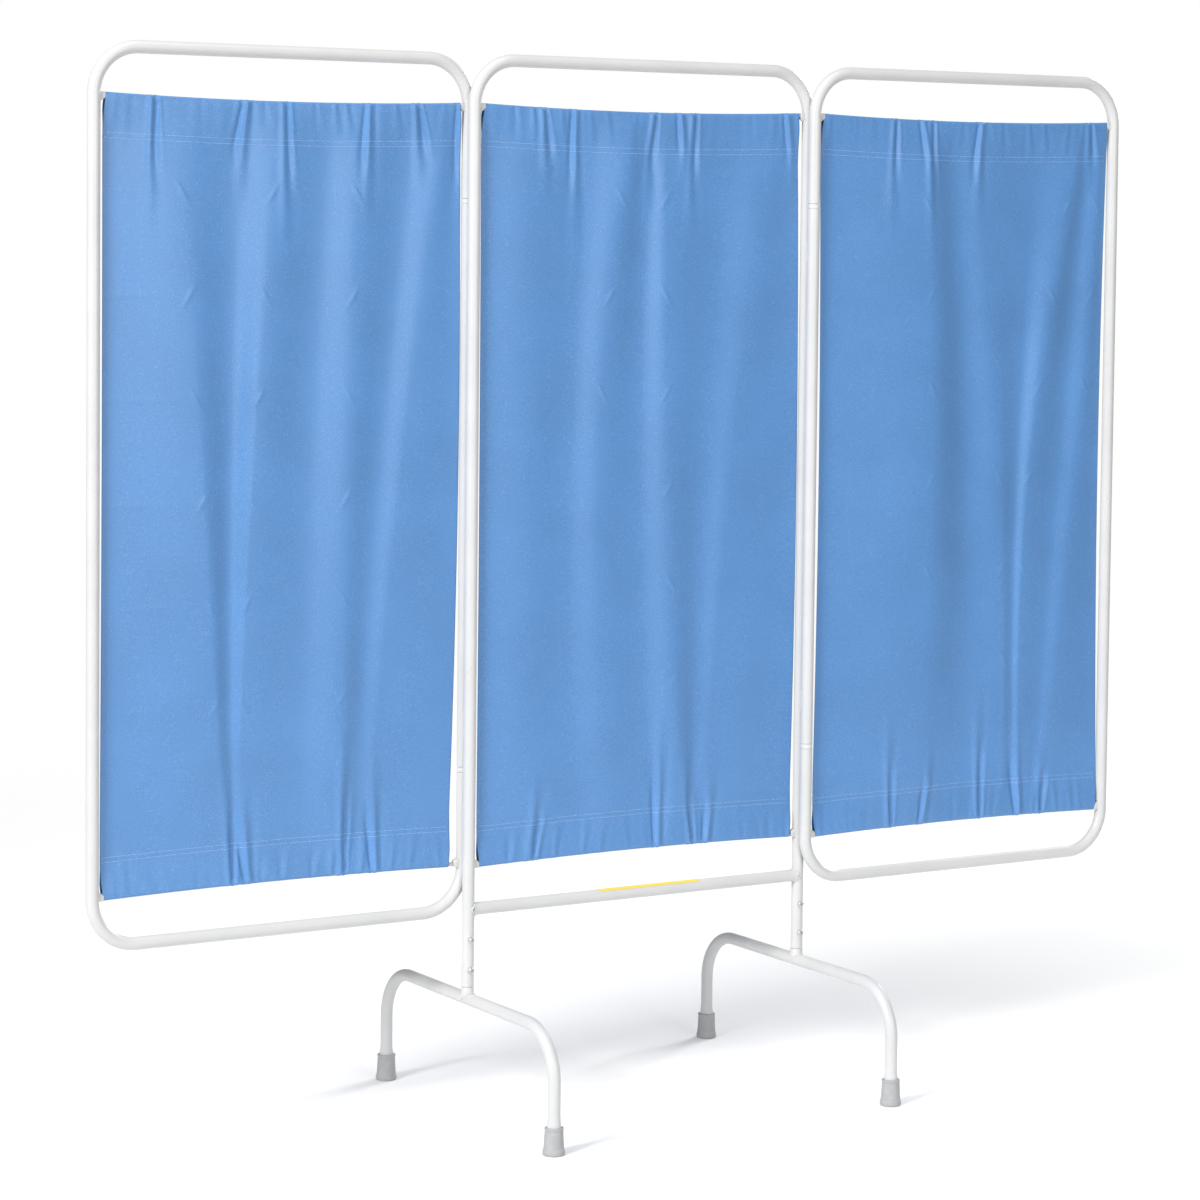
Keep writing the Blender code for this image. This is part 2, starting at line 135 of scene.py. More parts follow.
class Graph:
    """A material's node tree, built one node at a time."""

    def __init__(self, name: str) -> None:
        """Make a material with its Principled shader."""
        self.material = bpy.data.materials.new(name)
        self.material.use_nodes = True
        self.tree = self.material.node_tree
        self.shader = self.tree.nodes["Principled BSDF"]

    def node(self, kind: str, settings: dict | None = None, sockets: dict | None = None) -> Wire:
        """Add a node.

        Args:
            kind: the node's type.
            settings: properties set first; "stops" fills a colour ramp.
            sockets: values or wires by input name or number.

        Returns:
            The node's first enabled output.
        """
        made = self.tree.nodes.new(kind)
        for key, value in (settings or {}).items():
            if key == "stops":
                self._fill(made.color_ramp, value)
            else:
                setattr(made, key, value)
        for key, value in (sockets or {}).items():
            if isinstance(value, Wire):
                self.tree.links.new(value.socket, made.inputs[key])
            else:
                made.inputs[key].default_value = value
        return Wire(self, next(out for out in made.outputs if out.enabled))

    @staticmethod
    def _fill(ramp: bpy.types.ColorRamp, stops: Sequence[tuple[float, Colour]]) -> None:
        """Give a colour ramp its stops."""
        while len(ramp.elements) < len(stops):
            ramp.elements.new(0.5)
        for element, (place, colour) in zip(ramp.elements, stops):
            element.position = place
            element.color = (*colour, 1.0)

    def place(self, grain: Grain = Grain.EVEN) -> Wire:
        """Return the surface's own place in metres, stretched along the grain."""
        spot = self.node("ShaderNodeTexCoord").part("Object")
        return self.node("ShaderNodeVectorMath", {"operation": "MULTIPLY"}, {0: spot, 1: grain.value})

    def noise(self, place: Wire, scale: float, detail: float = 2.0) -> Wire:
        """Return cloudy noise about 0.5; scale is waves in a metre."""
        return self.node("ShaderNodeTexNoise", {}, {"Vector": place, "Scale": scale, "Detail": detail})

    def step(self, value: Wire, low: float, high: float) -> Wire:
        """Return 0 below low, 1 above high and a smooth rise between them."""
        return self.node("ShaderNodeMapRange", {"interpolation_type": "SMOOTHSTEP"},
                         {"Value": value, "From Min": low, "From Max": high})

    def mix(self, share: Wire, first: object, second: object) -> Wire:
        """Return a colour between two colours."""
        pair = {0: share, 6: self._paint(first), 7: self._paint(second)}
        return self.node("ShaderNodeMix", {"data_type": "RGBA"}, pair)

    @staticmethod
    def _paint(value: object) -> object:
        """Return a colour with its alpha, or the wire itself."""
        return value if isinstance(value, Wire) else (*value, 1.0)

    def bump(self, height: Wire, strength: float, distance: float) -> None:
        """Let a height shape the shader's normal."""
        self.feed("Normal", self.node("ShaderNodeBump", {},
                                      {"Strength": strength, "Distance": distance, "Height": height}))

    def feed(self, socket: str, value: Wire) -> None:
        """Link a wire to one of the shader's sockets."""
        self.tree.links.new(value.socket, self.shader.inputs[socket])


def shade(colour: Colour, factor: float) -> Colour:
    """Return a colour made lighter or darker."""
    return tuple(min(1.0, c * factor) for c in colour)


@dataclass(frozen=True)
class Finish:
    """Plain values that every finish starts from.

    The first four are set on the shader's own sockets, and texture() lets some of them vary.
    """

    name: str
    colour: Colour
    roughness: float
    metallic: float = 0.0
    specular: float = 0.5

    def make(self) -> bpy.types.Material:
        """Build the material, or return it if it is there already.

        Returns:
            The finished material.
        """
        known = bpy.data.materials.get(self.name)
        if known:
            return known
        graph = Graph(self.name)
        graph.shader.inputs["Base Color"].default_value = (*self.colour, 1.0)
        graph.shader.inputs["Roughness"].default_value = self.roughness
        graph.shader.inputs["Metallic"].default_value = self.metallic
        graph.shader.inputs["Specular IOR Level"].default_value = self.specular
        graph.material.diffuse_color = (*self.colour, 1.0)
        self.texture(graph)
        return graph.material

    def texture(self, graph: Graph) -> None:
        """Add what varies over the surface."""
        raise NotImplementedError


@dataclass(frozen=True)
class PowderCoat(Finish):
    """Baked paint on tube: an orange-peel skin, faint clouds and the odd dust nib."""

    def texture(self, graph: Graph) -> None:
        """Add clouds, nibs and orange peel."""
        place = graph.place()
        clouds = graph.noise(place, 9.0, 4.0)
        peel = graph.noise(place, 620.0, 3.0)
        nibs = graph.step(graph.noise(place, 240.0, 1.0), 0.77, 0.81)
        base = graph.mix(graph.step(clouds, 0.30, 0.70), shade(self.colour, 0.955), shade(self.colour, 1.02))
        base = graph.mix(graph.step(peel, 0.25, 0.75) * 0.5, base, shade(self.colour, 0.93))
        graph.feed("Base Color", graph.mix(nibs * 0.55, base, shade(self.colour, 0.45)))
        graph.feed("Roughness", (peel - 0.5) * 0.16 + (clouds - 0.5) * 0.10 + self.roughness)
        graph.bump(peel + nibs * 0.6, 0.22, 0.00035)


@dataclass(frozen=True)
class Moulding(Finish):
    """Moulded rubber or nylon: a fine dull skin with rings left by the tool."""

    ring_pitch: float = 0.0016
    rub: float = 0.18

    def texture(self, graph: Graph) -> None:
        """Add speckle, rubbed patches and tool rings."""
        place = graph.place()
        fine = graph.noise(place, 1500.0, 2.0)
        rubbed = graph.step(graph.noise(place, 70.0, 4.0), 0.48, 0.72)
        rings = graph.node("ShaderNodeTexWave", {"wave_type": "BANDS", "bands_direction": "Z"},
                           {"Vector": place, "Scale": 1.0 / (self.ring_pitch * TURN), "Distortion": 0.4})
        base = graph.mix(fine, shade(self.colour, 0.90), shade(self.colour, 1.10))
        graph.feed("Base Color", graph.mix(rubbed * self.rub, base, shade(self.colour, 1.5)))
        graph.feed("Roughness", (fine - 0.5) * 0.2 - rubbed * 0.12 + self.roughness)
        graph.bump(fine * 0.6 + rings * 0.25, 0.35, 0.0002)


@dataclass(frozen=True)
class Steel(Finish):
    """Drawn or plated steel with fine lines and dull spots."""

    grain: Grain = Grain.EVEN

    def texture(self, graph: Graph) -> None:
        """Add draw lines and dull spots."""
        lines = graph.noise(graph.place(self.grain), 2600.0, 2.0)
        spots = graph.step(graph.noise(graph.place(), 160.0, 3.0), 0.52, 0.70)
        base = graph.mix(lines, shade(self.colour, 0.82), shade(self.colour, 1.08))
        graph.feed("Base Color", graph.mix(spots * 0.4, base, shade(self.colour, 0.6)))
        graph.feed("Roughness", lines * 0.16 + spots * 0.22 + self.roughness)
        graph.bump(lines, 0.18, 0.0001)


@dataclass(frozen=True)
class Vinyl(Finish):
    """Calendered vinyl sheet: a fine pebble grain with painted sheen and painted shade, faint clouds and a
    few dark flecks.
    """

    fleck: Colour = (0.03, 0.10, 0.27)
    # pale is a painted highlight: the sheen's colour, mixed into the grain's raised spots.
    pale: Colour = (0.30, 0.47, 0.74)

    def texture(self, graph: Graph) -> None:
        """Add pebble grain, clouds, flecks and the grain's painted sheen and shade."""
        place = graph.place()
        clouds = graph.noise(place, 7.0, 3.0)
        sheen_and_shade_mottle = graph.noise(place, 480.0, 3.0)
        pebble = graph.node("ShaderNodeTexVoronoi", {"feature": "SMOOTH_F1"},
                            {"Vector": place, "Scale": 780.0})
        flecks = graph.step(graph.noise(place, 150.0, 1.0), 0.815, 0.835)
        base = graph.mix(graph.step(clouds, 0.3, 0.7), shade(self.colour, 0.95), shade(self.colour, 1.04))
        # Painted sheen on the grain's raised spots and painted shade on its low spots, as the same noise
        # drives the bump.
        base = graph.mix(graph.step(sheen_and_shade_mottle, 0.50, 0.72) * 0.22, base, self.pale)
        base = graph.mix((1 - graph.step(sheen_and_shade_mottle, 0.28, 0.50)) * 0.55, base, shade(self.colour, 0.84))
        graph.feed("Base Color", graph.mix(flecks * 0.5, base, self.fleck))
        graph.feed("Roughness", (sheen_and_shade_mottle - 0.5) * 0.14 + (clouds - 0.5) * 0.06 + self.roughness)
        graph.bump(pebble * 0.5 + sheen_and_shade_mottle * 0.6, 0.20, 0.0003)


@dataclass(frozen=True)
class Thread(Finish):
    """Twisted sewing thread."""

    def texture(self, graph: Graph) -> None:
        """Add the twist's bump, with its light and dark painted into the colour as painted highlight and
        shade.
        """
        twist = graph.noise(graph.place(), 2200.0, 2.0)
        # Painted light and shade: the colour is lighter on the twist's ridges and darker in its grooves.
        graph.feed("Base Color", graph.mix(twist, shade(self.colour, 0.8), shade(self.colour, 1.15)))
        graph.bump(twist, 0.5, 0.0002)


@dataclass(frozen=True)
class Film(Finish):
    """Plain printed film with a little rippled adhesive under it."""

    def texture(self, graph: Graph) -> None:
        """Add ripple, scuffs and faded patches."""
        place = graph.place()
        ripple = graph.noise(place, 120.0, 2.0)
        scuff = graph.step(graph.noise(graph.place(Grain.ALONG_X), 900.0, 3.0), 0.62, 0.75)
        base = graph.mix(graph.noise(place, 25.0, 3.0), shade(self.colour, 0.92), shade(self.colour, 1.06))
        graph.feed("Base Color", graph.mix(scuff * 0.35, base, (0.85, 0.74, 0.38)))
        graph.feed("Roughness", scuff * 0.2 + self.roughness)
        graph.bump(ripple + scuff * 0.3, 0.25, 0.0003)


PAINT = PowderCoat("white_powder_coat", (0.585, 0.585, 0.58), 0.36)
NYLON = Moulding("turned_nylon", (0.60, 0.60, 0.585), 0.5, rub=0.05)
RUBBER = Moulding("moulded_rubber", (0.37, 0.37, 0.37), 0.72, specular=0.35)
ZINC = Steel("plated_screw", (0.66, 0.66, 0.66), 0.24, 1.0)
BRIGHT = Steel("drawn_rod", (0.66, 0.66, 0.67), 0.22, 1.0, grain=Grain.ALONG_X)
VINYL = Vinyl("blue_sheet", (0.070, 0.222, 0.500), 0.44, specular=0.8)
THREAD = Thread("pale_thread", (0.42, 0.60, 0.86), 0.7)
FILM = Film("yellow_marker", (0.80, 0.62, 0.06), 0.42)


@dataclass(frozen=True)
class Box:
    """A CAD node's box."""

    low: Vector
    high: Vector

    @classmethod
    def of(cls, node: str) -> "Box":
        """Return the box of a CAD node at rest."""
        return cls(*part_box(node))

    @property
    def middle(self) -> Vector:
        """The box's centre."""
        return (self.low + self.high) / 2

    @property
    def size(self) -> Vector:
        """The box's three sides."""
        return self.high - self.low


def add_piece(name: str, bm: bmesh.types.BMesh, finish: Finish, body: str,
              nodes: Sequence[str] = (), sharp_deg: float = 38.0) -> bpy.types.Object:
    """Turn a bmesh into a shown piece that rides on a body.

    Args:
        name: the piece's name.
        bm: the shape, which is freed.
        finish: what it is made of.
        body: the CAD body it moves with.
        nodes: the CAD nodes it stands for.
        sharp_deg: edges that turn more than this stay crisp.

    Returns:
        The new object.
    """
    bmesh.ops.recalc_face_normals(bm, faces=bm.faces)
    limit = math.radians(sharp_deg)
    for face in bm.faces:
        face.smooth = True
    for edge in bm.edges:
        edge.smooth = edge.calc_face_angle(0.0) < limit
    mesh = bpy.data.meshes.new(name)
    bm.to_mesh(mesh)
    bm.free()
    return place_piece(name, mesh, finish, body, nodes)


def place_piece(name: str, mesh: bpy.types.Mesh, finish: Finish, body: str,
                nodes: Sequence[str] = ()) -> bpy.types.Object:
    """Link a finished mesh as a piece; the arguments are those of add_piece.

    Args:
        name: the piece's name.
        mesh: the shape in the row frame.
        finish: what it is made of.
        body: the CAD body it moves with.
        nodes: the CAD nodes it stands for.

    Returns:
        The new object.
    """
    mesh.materials.append(finish.make())
    piece = bpy.data.objects.new(name, mesh)
    bpy.context.scene.collection.objects.link(piece)
    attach(piece, body)
    if nodes:
        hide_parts(*nodes)
    log.info("%s: %d faces, on %s", name, len(mesh.polygons), body)
    return piece


def skin(bm: bmesh.types.BMesh, rings: Sequence[Sequence[Point]], capped: bool = True) -> None:
    """Add a row of equal closed rings, joined side by side.

    Args:
        bm: what the faces are added to.
        rings: the rings' points.
        capped: whether both ends are closed.
    """
    rows = [[bm.verts.new(point) for point in ring] for ring in rings]
    for row, after in zip(rows, rows[1:]):
        for i, vert in enumerate(row):
            j = (i + 1) % len(row)
            bm.faces.new((vert, row[j], after[j], after[i]))
    if capped:
        bm.faces.new(rows[0])
        bm.faces.new(reversed(rows[-1]))


def sweep(bm: bmesh.types.BMesh, path: Sequence[Point], radii: Sequence[float], sides: int = 40) -> None:
    """Add a round bar along a path, without twist.

    Args:
        bm: what the bar is added to.
        path: points of its axis.
        radii: its radius at each point.
        sides: points round it.
    """
    points = [Vector(p) for p in path]
    ways = [(after - before).normalized() for before, after in
            zip([points[0], *points[:-1]], [*points[1:], points[-1]])]
    across = ways[0].orthogonal().normalized()
    rings = []
    for point, way, radius in zip(points, ways, radii):
        across = (across - way * across.dot(way)).normalized()
        up = way.cross(across)
        rings.append([point + across * (radius * math.cos(TURN * i / sides))
                      + up * (radius * math.sin(TURN * i / sides))
                      for i in range(sides)])
    skin(bm, rings)


def lathe(bm: bmesh.types.BMesh, outline: Sequence[tuple[float, float]], centre: Point, axis: str = "Z",
          sides: int = 56) -> None:
    """Add a turned solid whose outline starts and ends on its axis.

    Args:
        bm: what the solid is added to.
        outline: (radius, height) points; the first and last may have no radius.
        centre: where height zero is.
        axis: "Z", or "-Y" for a piece that faces the front.
        sides: points round it.
    """
    small = 1e-5
    rings = []
    for radius, height in outline:
        ring = []
        for i in range(sides):
            a = max(radius, small) * math.cos(TURN * i / sides)
            b = max(radius, small) * math.sin(TURN * i / sides)
            local = Vector((a, b, height)) if axis == "Z" else Vector((a, -height, b))
            ring.append(Vector(centre) + local)
        rings.append(ring)
    skin(bm, rings)


def bent_route(corners: Sequence[Point], bend_r: float, steps: int = 20) -> list[Vector]:
    """Round off the inner corners of a route.

    Args:
        corners: the route's corners.
        bend_r: radius of each bend.
        steps: points in a bend.

    Returns:
        The points of the rounded route.
    """
    points = [Vector(corners[0])]
    for before, corner, after in zip(corners, corners[1:], corners[2:]):
        corner = Vector(corner)
        back = (Vector(before) - corner).normalized()
        ahead = (Vector(after) - corner).normalized()
        centre = corner + (back + ahead) * bend_r
        for step in range(steps + 1):
            turn = TURN / 4 * step / steps
            points.append(centre - ahead * bend_r * math.cos(turn) - back * bend_r * math.sin(turn))
    points.append(Vector(corners[-1]))
    return points


def soft_ended(path: list[Vector], radius: float, lip: float = 0.0006) -> tuple[list[Vector], list[float]]:
    """Round the rims at both ends of a bar's path.

    Args:
        path: the bar's axis.
        radius: the bar's radius.
        lip: how far the rims are rounded.

    Returns:
        The path with the rims' points and the radius at each.
    """
    first = (path[1] - path[0]).normalized()
    last = (path[-2] - path[-1]).normalized()
    steps = [(0.0, 1.0), (0.3, 0.35), (1.0, 0.0), (4.0, 0.0)]
    head = [(path[0] + first * lip * along, radius - lip * cut) for along, cut in steps]
    tail = [(path[-1] + last * lip * along, radius - lip * cut) for along, cut in reversed(steps)]
    rows = head + [(point, radius) for point in path[1:-1]] + tail
    return [point for point, _ in rows], [r for _, r in rows]


def ease(value: np.ndarray | float, low: float, high: float) -> np.ndarray:
    """Return a smooth rise from 0 at low to 1 at high."""
    t = np.clip((np.asarray(value, float) - low) / (high - low), 0.0, 1.0)
    return t * t * (3 - 2 * t)


@dataclass
class Bead:
    """A painted weld bead along a path, with the ripple of its making."""

    name: str
    path: list[Vector]
    radius: float
    body: str
    nodes: tuple[str, ...] = ()
    pitch: float = 0.0021

    def build(self) -> None:
        """Build the bead with tapered ends."""
        rows = [self.path[0]]
        for before, after in zip(self.path, self.path[1:]):
            parts = max(1, round((after - before).length / (self.pitch / 5)))
            rows += [before.lerp(after, (k + 1) / parts) for k in range(parts)]
        runs = np.cumsum([0.0] + [(b - a).length for a, b in zip(rows, rows[1:])])
        closed = (self.path[0] - self.path[-1]).length < 1e-4
        radii = []
        for run in runs:
            to_end = min(run, runs[-1] - run) / (self.radius * 1.4)
            ends = 1.0 if closed else math.sqrt(max(0.02, min(1.0, to_end)))
            radii.append(self.radius * ends * (1 + 0.10 * math.sin(TURN * run / self.pitch)))
        bm = bmesh.new()
        sweep(bm, rows, radii, 12)
        add_piece(self.name, bm, PAINT, self.body, self.nodes, 60.0)


@dataclass
class TubeFrame:
    """A bent tube with rounded rims."""

    name: str
    corners: list[Point]
    bend_r: float
    radius: float
    body: str

    def build(self) -> None:
        """Sweep the tube and stand it in for the CAD node of its name."""
        path, radii = soft_ended(bent_route(self.corners, self.bend_r), self.radius)
        bm = bmesh.new()
        sweep(bm, path, radii, 48)
        add_piece(self.name + "_tube", bm, PAINT, self.body, (self.name,), 60.0)


@dataclass
class Screw:
    """A pan-head screw with a cross recess that faces the front."""

    node: str
    body: str
    arm: float = 0.0027
    half_arm: float = 0.00075
    depth: float = 0.0017
    per_quarter: int = 12

    def recess(self) -> list[tuple[float, float]]:
        """Return the cross's outline, with as many points as the head's rings."""
        w, r = self.half_arm, self.arm
        corners = [(r, -w), (r, w), (w, w)]
        quarter = []
        for (ax, ay), (bx, by) in zip(corners, [*corners[1:], (w, r)]):
            share = self.per_quarter // 3
            quarter += [(ax + (bx - ax) * k / share, ay + (by - ay) * k / share) for k in range(share)]
        points = []
        for turn in range(4):
            c, s = round(math.cos(turn * TURN / 4)), round(math.sin(turn * TURN / 4))
            points += [(a * c - b * s, a * s + b * c) for a, b in quarter]
        return points

    def build(self) -> None:
        """Loft the shank, the domed head and the recess."""
        box = Box.of(self.node)
        centre, radius = box.middle, box.size.x / 2
        front = -box.low.y
        back = -box.high.y
        head = radius * 0.61
        outline = self.recess()
        phase = math.atan2(outline[0][1], outline[0][0])
        shank = radius * 0.43
        rows = [(shank, back), (shank, front - head),
                (radius * 0.96, front - head), (radius, front - head * 0.92)]
        for step in range(7):
            turn = math.radians(12 + step * 9.5)
            rows.append((radius * math.cos(turn) ** 0.55, front - head * 0.62 + head * 0.62 * math.sin(turn)))
        count = len(outline)
        rings = [[(centre.x + r * math.cos(phase + TURN * i / count), -y,
                   centre.z + r * math.sin(phase + TURN * i / count))
                  for i in range(count)] for r, y in rows]
        for y, size in ((rows[-1][1], 1.0), (rows[-1][1] - self.depth, 0.72)):
            rings.append([(centre.x + a * size, -y, centre.z + b * size) for a, b in outline])
        bm = bmesh.new()
        skin(bm, rings)
        add_piece(self.node + "_head", bm, ZINC, self.body, (self.node,), 34.0)


@dataclass
class Foot:
    """One arched base tube with its post, tips, screws and welds."""

    side: str
    body: str = "centre_panel"
    bend_r: float = 0.085
    bell: float = 0.0015
    bell_top: float = 0.0630
    tip_floor: float = 0.008

    def build(self) -> None:
        """Build every piece of the foot."""
        tube = Box.of(f"base_tube_{self.side}")
        leg = Box.of("centre_frame")
        radius = leg.size.y / 2
        x = tube.middle.x
        bar = tube.high.z - radius
        half = tube.high.y - radius - self.bell
        self.arch(x, half, bar, tube.low.z, radius)
        for end, y in (("front", -half), ("back", half)):
            self.tip(end, x, y, radius)
        self.post(x, bar, leg.low.z, radius)
        for place in ("lower", "upper"):
            Screw(f"base_screw_{self.side}_{place}", self.body).build()

    def arch(self, x: float, half: float, bar: float, low: float, radius: float) -> None:
        """Sweep the arched tube with its belled ends."""
        route = bent_route([(x, -half, self.bell_top), (x, -half, bar), (x, half, bar),
                            (x, half, self.bell_top)],
                           self.bend_r)
        bells = [(low, 1.0), (self.bell_top - 0.020, 1.0),
                 (self.bell_top - 0.013, 0.8), (self.bell_top - 0.006, 0.22)]
        rows = [(Vector((x, -half, z)), radius + self.bell * share) for z, share in bells]
        rows += [(point, radius) for point in [route[0], route[0].lerp(route[1], 0.2), *route[1:-1],
                                               route[-1].lerp(route[-2], 0.2), route[-1]]]
        rows += [(Vector((x, half, z)), radius + self.bell * share) for z, share in reversed(bells)]
        bm = bmesh.new()
        sweep(bm, [p for p, _ in rows], [r for _, r in rows], 48)
        name = f"base_tube_{self.side}"
        add_piece(name + "_arch", bm, PAINT, self.body, (name,), 60.0)

    def tip(self, end: str, x: float, y: float, radius: float) -> None:
        """Turn a rubber cup with a rim, a flash line and a grooved sole."""
        name = f"foot_tip_{end}_{self.side}"
        box = Box.of(name)
        top, wide = box.high.z, box.size.x / 2
        socket = radius + self.bell
        rim = socket + 0.0032
        outline = [(0.0, 0.0016), (wide * 0.30, 0.0016), (wide * 0.34, 0.0002), (wide * 0.60, 0.0002),
                   (wide * 0.63, 0.0014), (wide * 0.72, 0.0014), (wide * 0.75, 0.0), (wide - 0.0020, 0.0),
                   (wide - 0.0006, 0.0005), (wide, 0.0018), (wide, 0.0068), (wide - 0.0004, 0.0080),
                   (wide - 0.0008, 0.0086), (wide - 0.0013, 0.0120)]
        for step in range(1, 9):
            share = step / 8
            outline.append((wide - 0.0013 + (rim - wide + 0.0013) * share ** 0.7,
                            0.012 + (top - 0.0162) * share))
        outline += [(rim + 0.0005, top - 0.0036), (rim + 0.0006, top - 0.0016), (rim + 0.0002, top - 0.0004),
                    (rim - 0.0008, top), (socket + 0.0006, top - 0.0002), (socket + 0.0001, top - 0.0012),
                    (socket + 0.0001, self.tip_floor), (0.0, self.tip_floor)]
        bm = bmesh.new()
        lathe(bm, outline, (x, y, 0.0))
        add_piece(name + "_cup", bm, RUBBER, self.body, (name,), 50.0)

    def post(self, x: float, bar: float, leg_end: float, radius: float) -> None:
        """Turn the short post and lay the weld round its foot."""
        name = f"base_post_{self.side}"
        inner = radius - 0.0015
        spigot_top = Box.of(name).high.z
        foot = bar + radius * 0.3
        outline = [(0.0, foot), (radius + 0.0004, foot), (radius + 0.0004, leg_end - 0.0012),
                   (radius - 0.0002, leg_end - 0.0004), (inner, leg_end - 0.0003),
                   (inner, spigot_top), (0.0, spigot_top)]
        bm = bmesh.new()
        lathe(bm, outline, (x, 0.0, 0.0))
        add_piece(name + "_stub", bm, PAINT, self.body, (name,), 50.0)
        ring = []
        for i in range(73):
            a, b = radius * math.cos(TURN * i / 72), radius * math.sin(TURN * i / 72)
            rise = math.sqrt(max(0.0, radius ** 2 - a * a))
            ring.append(Vector((x + a * 1.02, b * 1.02, bar + rise + 0.0006)))
        Bead(f"{name}_weld", ring, 0.0019, self.body).build()


@dataclass
class Hinge:
    """The fixed middle of a hinge stile with its welds and bushings."""

    side: str
    body: str = "centre_panel"

    def build(self) -> None:
        """Build the fixed tube, two pairs of weld beads and two bushings."""
        name = f"hinge_tube_{self.side}"
        box = Box.of(name)
        x, y, radius = box.middle.x, box.middle.y, box.size.x / 2
        path, radii = soft_ended([Vector((x, y, box.low.z)), Vector((x, y, box.high.z))], radius, 0.0005)
        bm = bmesh.new()
        sweep(bm, path, radii, 48)
        add_piece(name + "_fixed", bm, PAINT, self.body, (name,), 60.0)
        for place in ("lower", "upper"):
            self.weld(place, x, y / 2)
            self.bushing(place, x, y)

    def weld(self, place: str, x: float, y: float) -> None:
        """Lay a bead down each side of the line where the two tubes meet."""
        node = f"hinge_weld_{self.side}_{place}"
        box = Box.of(node)
        for edge, sign in (("a", -1), ("b", 1)):
            path = [Vector((x + sign * 0.0042, y, z)) for z in (box.low.z, box.high.z)]
            Bead(f"{node}_bead_{edge}", path, 0.0022, self.body, (node,)).build()

    def bushing(self, place: str, x: float, y: float) -> None:
        """Turn the flanged bushing whose collar shows in the stile."""
        node = f"hinge_bushing_{self.side}_{place}"
        box = Box.of(node)
        z, collar = box.middle.z, box.size.x / 2
        half, inner, reach = 0.0041, collar * 0.86, box.size.z / 2
        outline = [(0.0, -reach), (inner - 0.0006, -reach), (inner, -reach + 0.0008), (inner, -half),
                   (collar - 0.0006, -half), (collar - 0.0001, -half + 0.0004), (collar, -half + 0.0010)]
        outline += [(r, -h) for r, h in reversed(outline)]
        bm = bmesh.new()
        lathe(bm, outline, (x, y, z))
        add_piece(node + "_collar", bm, NYLON, self.body, (node,), 30.0)


@dataclass
class CrossRail:
    """The rail between the legs with its welds and its plain marker strip."""

    body: str = "centre_panel"
    strip_from_deg: float = 45.0
    strip_to_deg: float = 130.0

    def build(self) -> None:
        """Build the rail, a bead at each end and the strip."""
        box = Box.of("cross_rail")
        radius, z = box.size.z / 2, box.middle.z
        leg = Box.of("centre_frame")
        stile = leg.high.x - radius
        flare = [(0.0, 1.16), (0.0035, 1.10), (0.008, 1.03), (0.014, 1.0), (0.020, 1.0)]
        inset = radius * 0.55
        rows = [(-stile + inset + d, radius * k) for d, k in flare]
        rows += [(stile - inset - d, radius * k) for d, k in reversed(flare)]
        bm = bmesh.new()
        sweep(bm, [Vector((x, 0.0, z)) for x, _ in rows], [r for _, r in rows], 48)
        add_piece("cross_rail_tube", bm, PAINT, self.body, ("cross_rail",), 60.0)
        for side, sign in (("left", -1), ("right", 1)):
            ring = []
            for i in range(73):
                a, b = radius * math.cos(TURN * i / 72), radius * math.sin(TURN * i / 72)
                reach = math.sqrt(max(0.0, radius ** 2 - a * a))
                ring.append(Vector((sign * (stile - reach - 0.0005), a * 1.05, z + b * 1.05)))
            Bead(f"cross_rail_weld_{side}", ring, 0.0016, self.body).build()
        self.strip(radius, z)

    def strip(self, radius: float, z: float) -> None:
        """Wrap the plain film over the rail's top, with rounded corners."""
        box = Box.of("marker_strip")
        low, high = box.low.x, box.high.x
        thick, corner, rows, cols = 0.0004, 0.0025, 20, 60
        inner = radius + 0.0001
        bm = bmesh.new()
        grids = []
        for rise in (thick, 0.0):
            grid = []
            for i in range(rows + 1):
                sweep_deg = self.strip_to_deg - self.strip_from_deg
                turn = math.radians(self.strip_from_deg + sweep_deg * i / rows)
                edge = min(i, rows - i) / rows * radius * math.radians(sweep_deg)
                trim = corner - math.sqrt(max(0.0, corner ** 2 - max(0.0, corner - edge) ** 2))
                line = []
                for j in range(cols + 1):
                    x = low + trim + (high - low - 2 * trim) * j / cols
                    lift = 0.00012 * math.sin(x * 190.0) * math.sin(turn * 3.0) ** 2
                    r = inner + rise + abs(lift)
                    line.append(bm.verts.new((x, r * math.cos(turn), z + r * math.sin(turn))))
                grid.append(line)
            grids.append(grid)
        for layer, grid in enumerate(grids):
            for a, b in zip(grid, grid[1:]):
                for j in range(cols):
                    quad = (a[j], a[j + 1], b[j + 1], b[j])
                    bm.faces.new(quad if layer == 0 else tuple(reversed(quad)))
        rims = [[grid[0], grid[-1]] for grid in grids]
        for outer, under in zip(rims[0], rims[1]):
            for j in range(cols):
                bm.faces.new((outer[j], outer[j + 1], under[j + 1], under[j]))
        for j in (0, cols):
            for i in range(rows):
                bm.faces.new((grids[0][i][j], grids[0][i + 1][j], grids[1][i + 1][j], grids[1][i][j]))
        add_piece("marker_strip_film", bm, FILM, self.body, ("marker_strip",), 50.0)


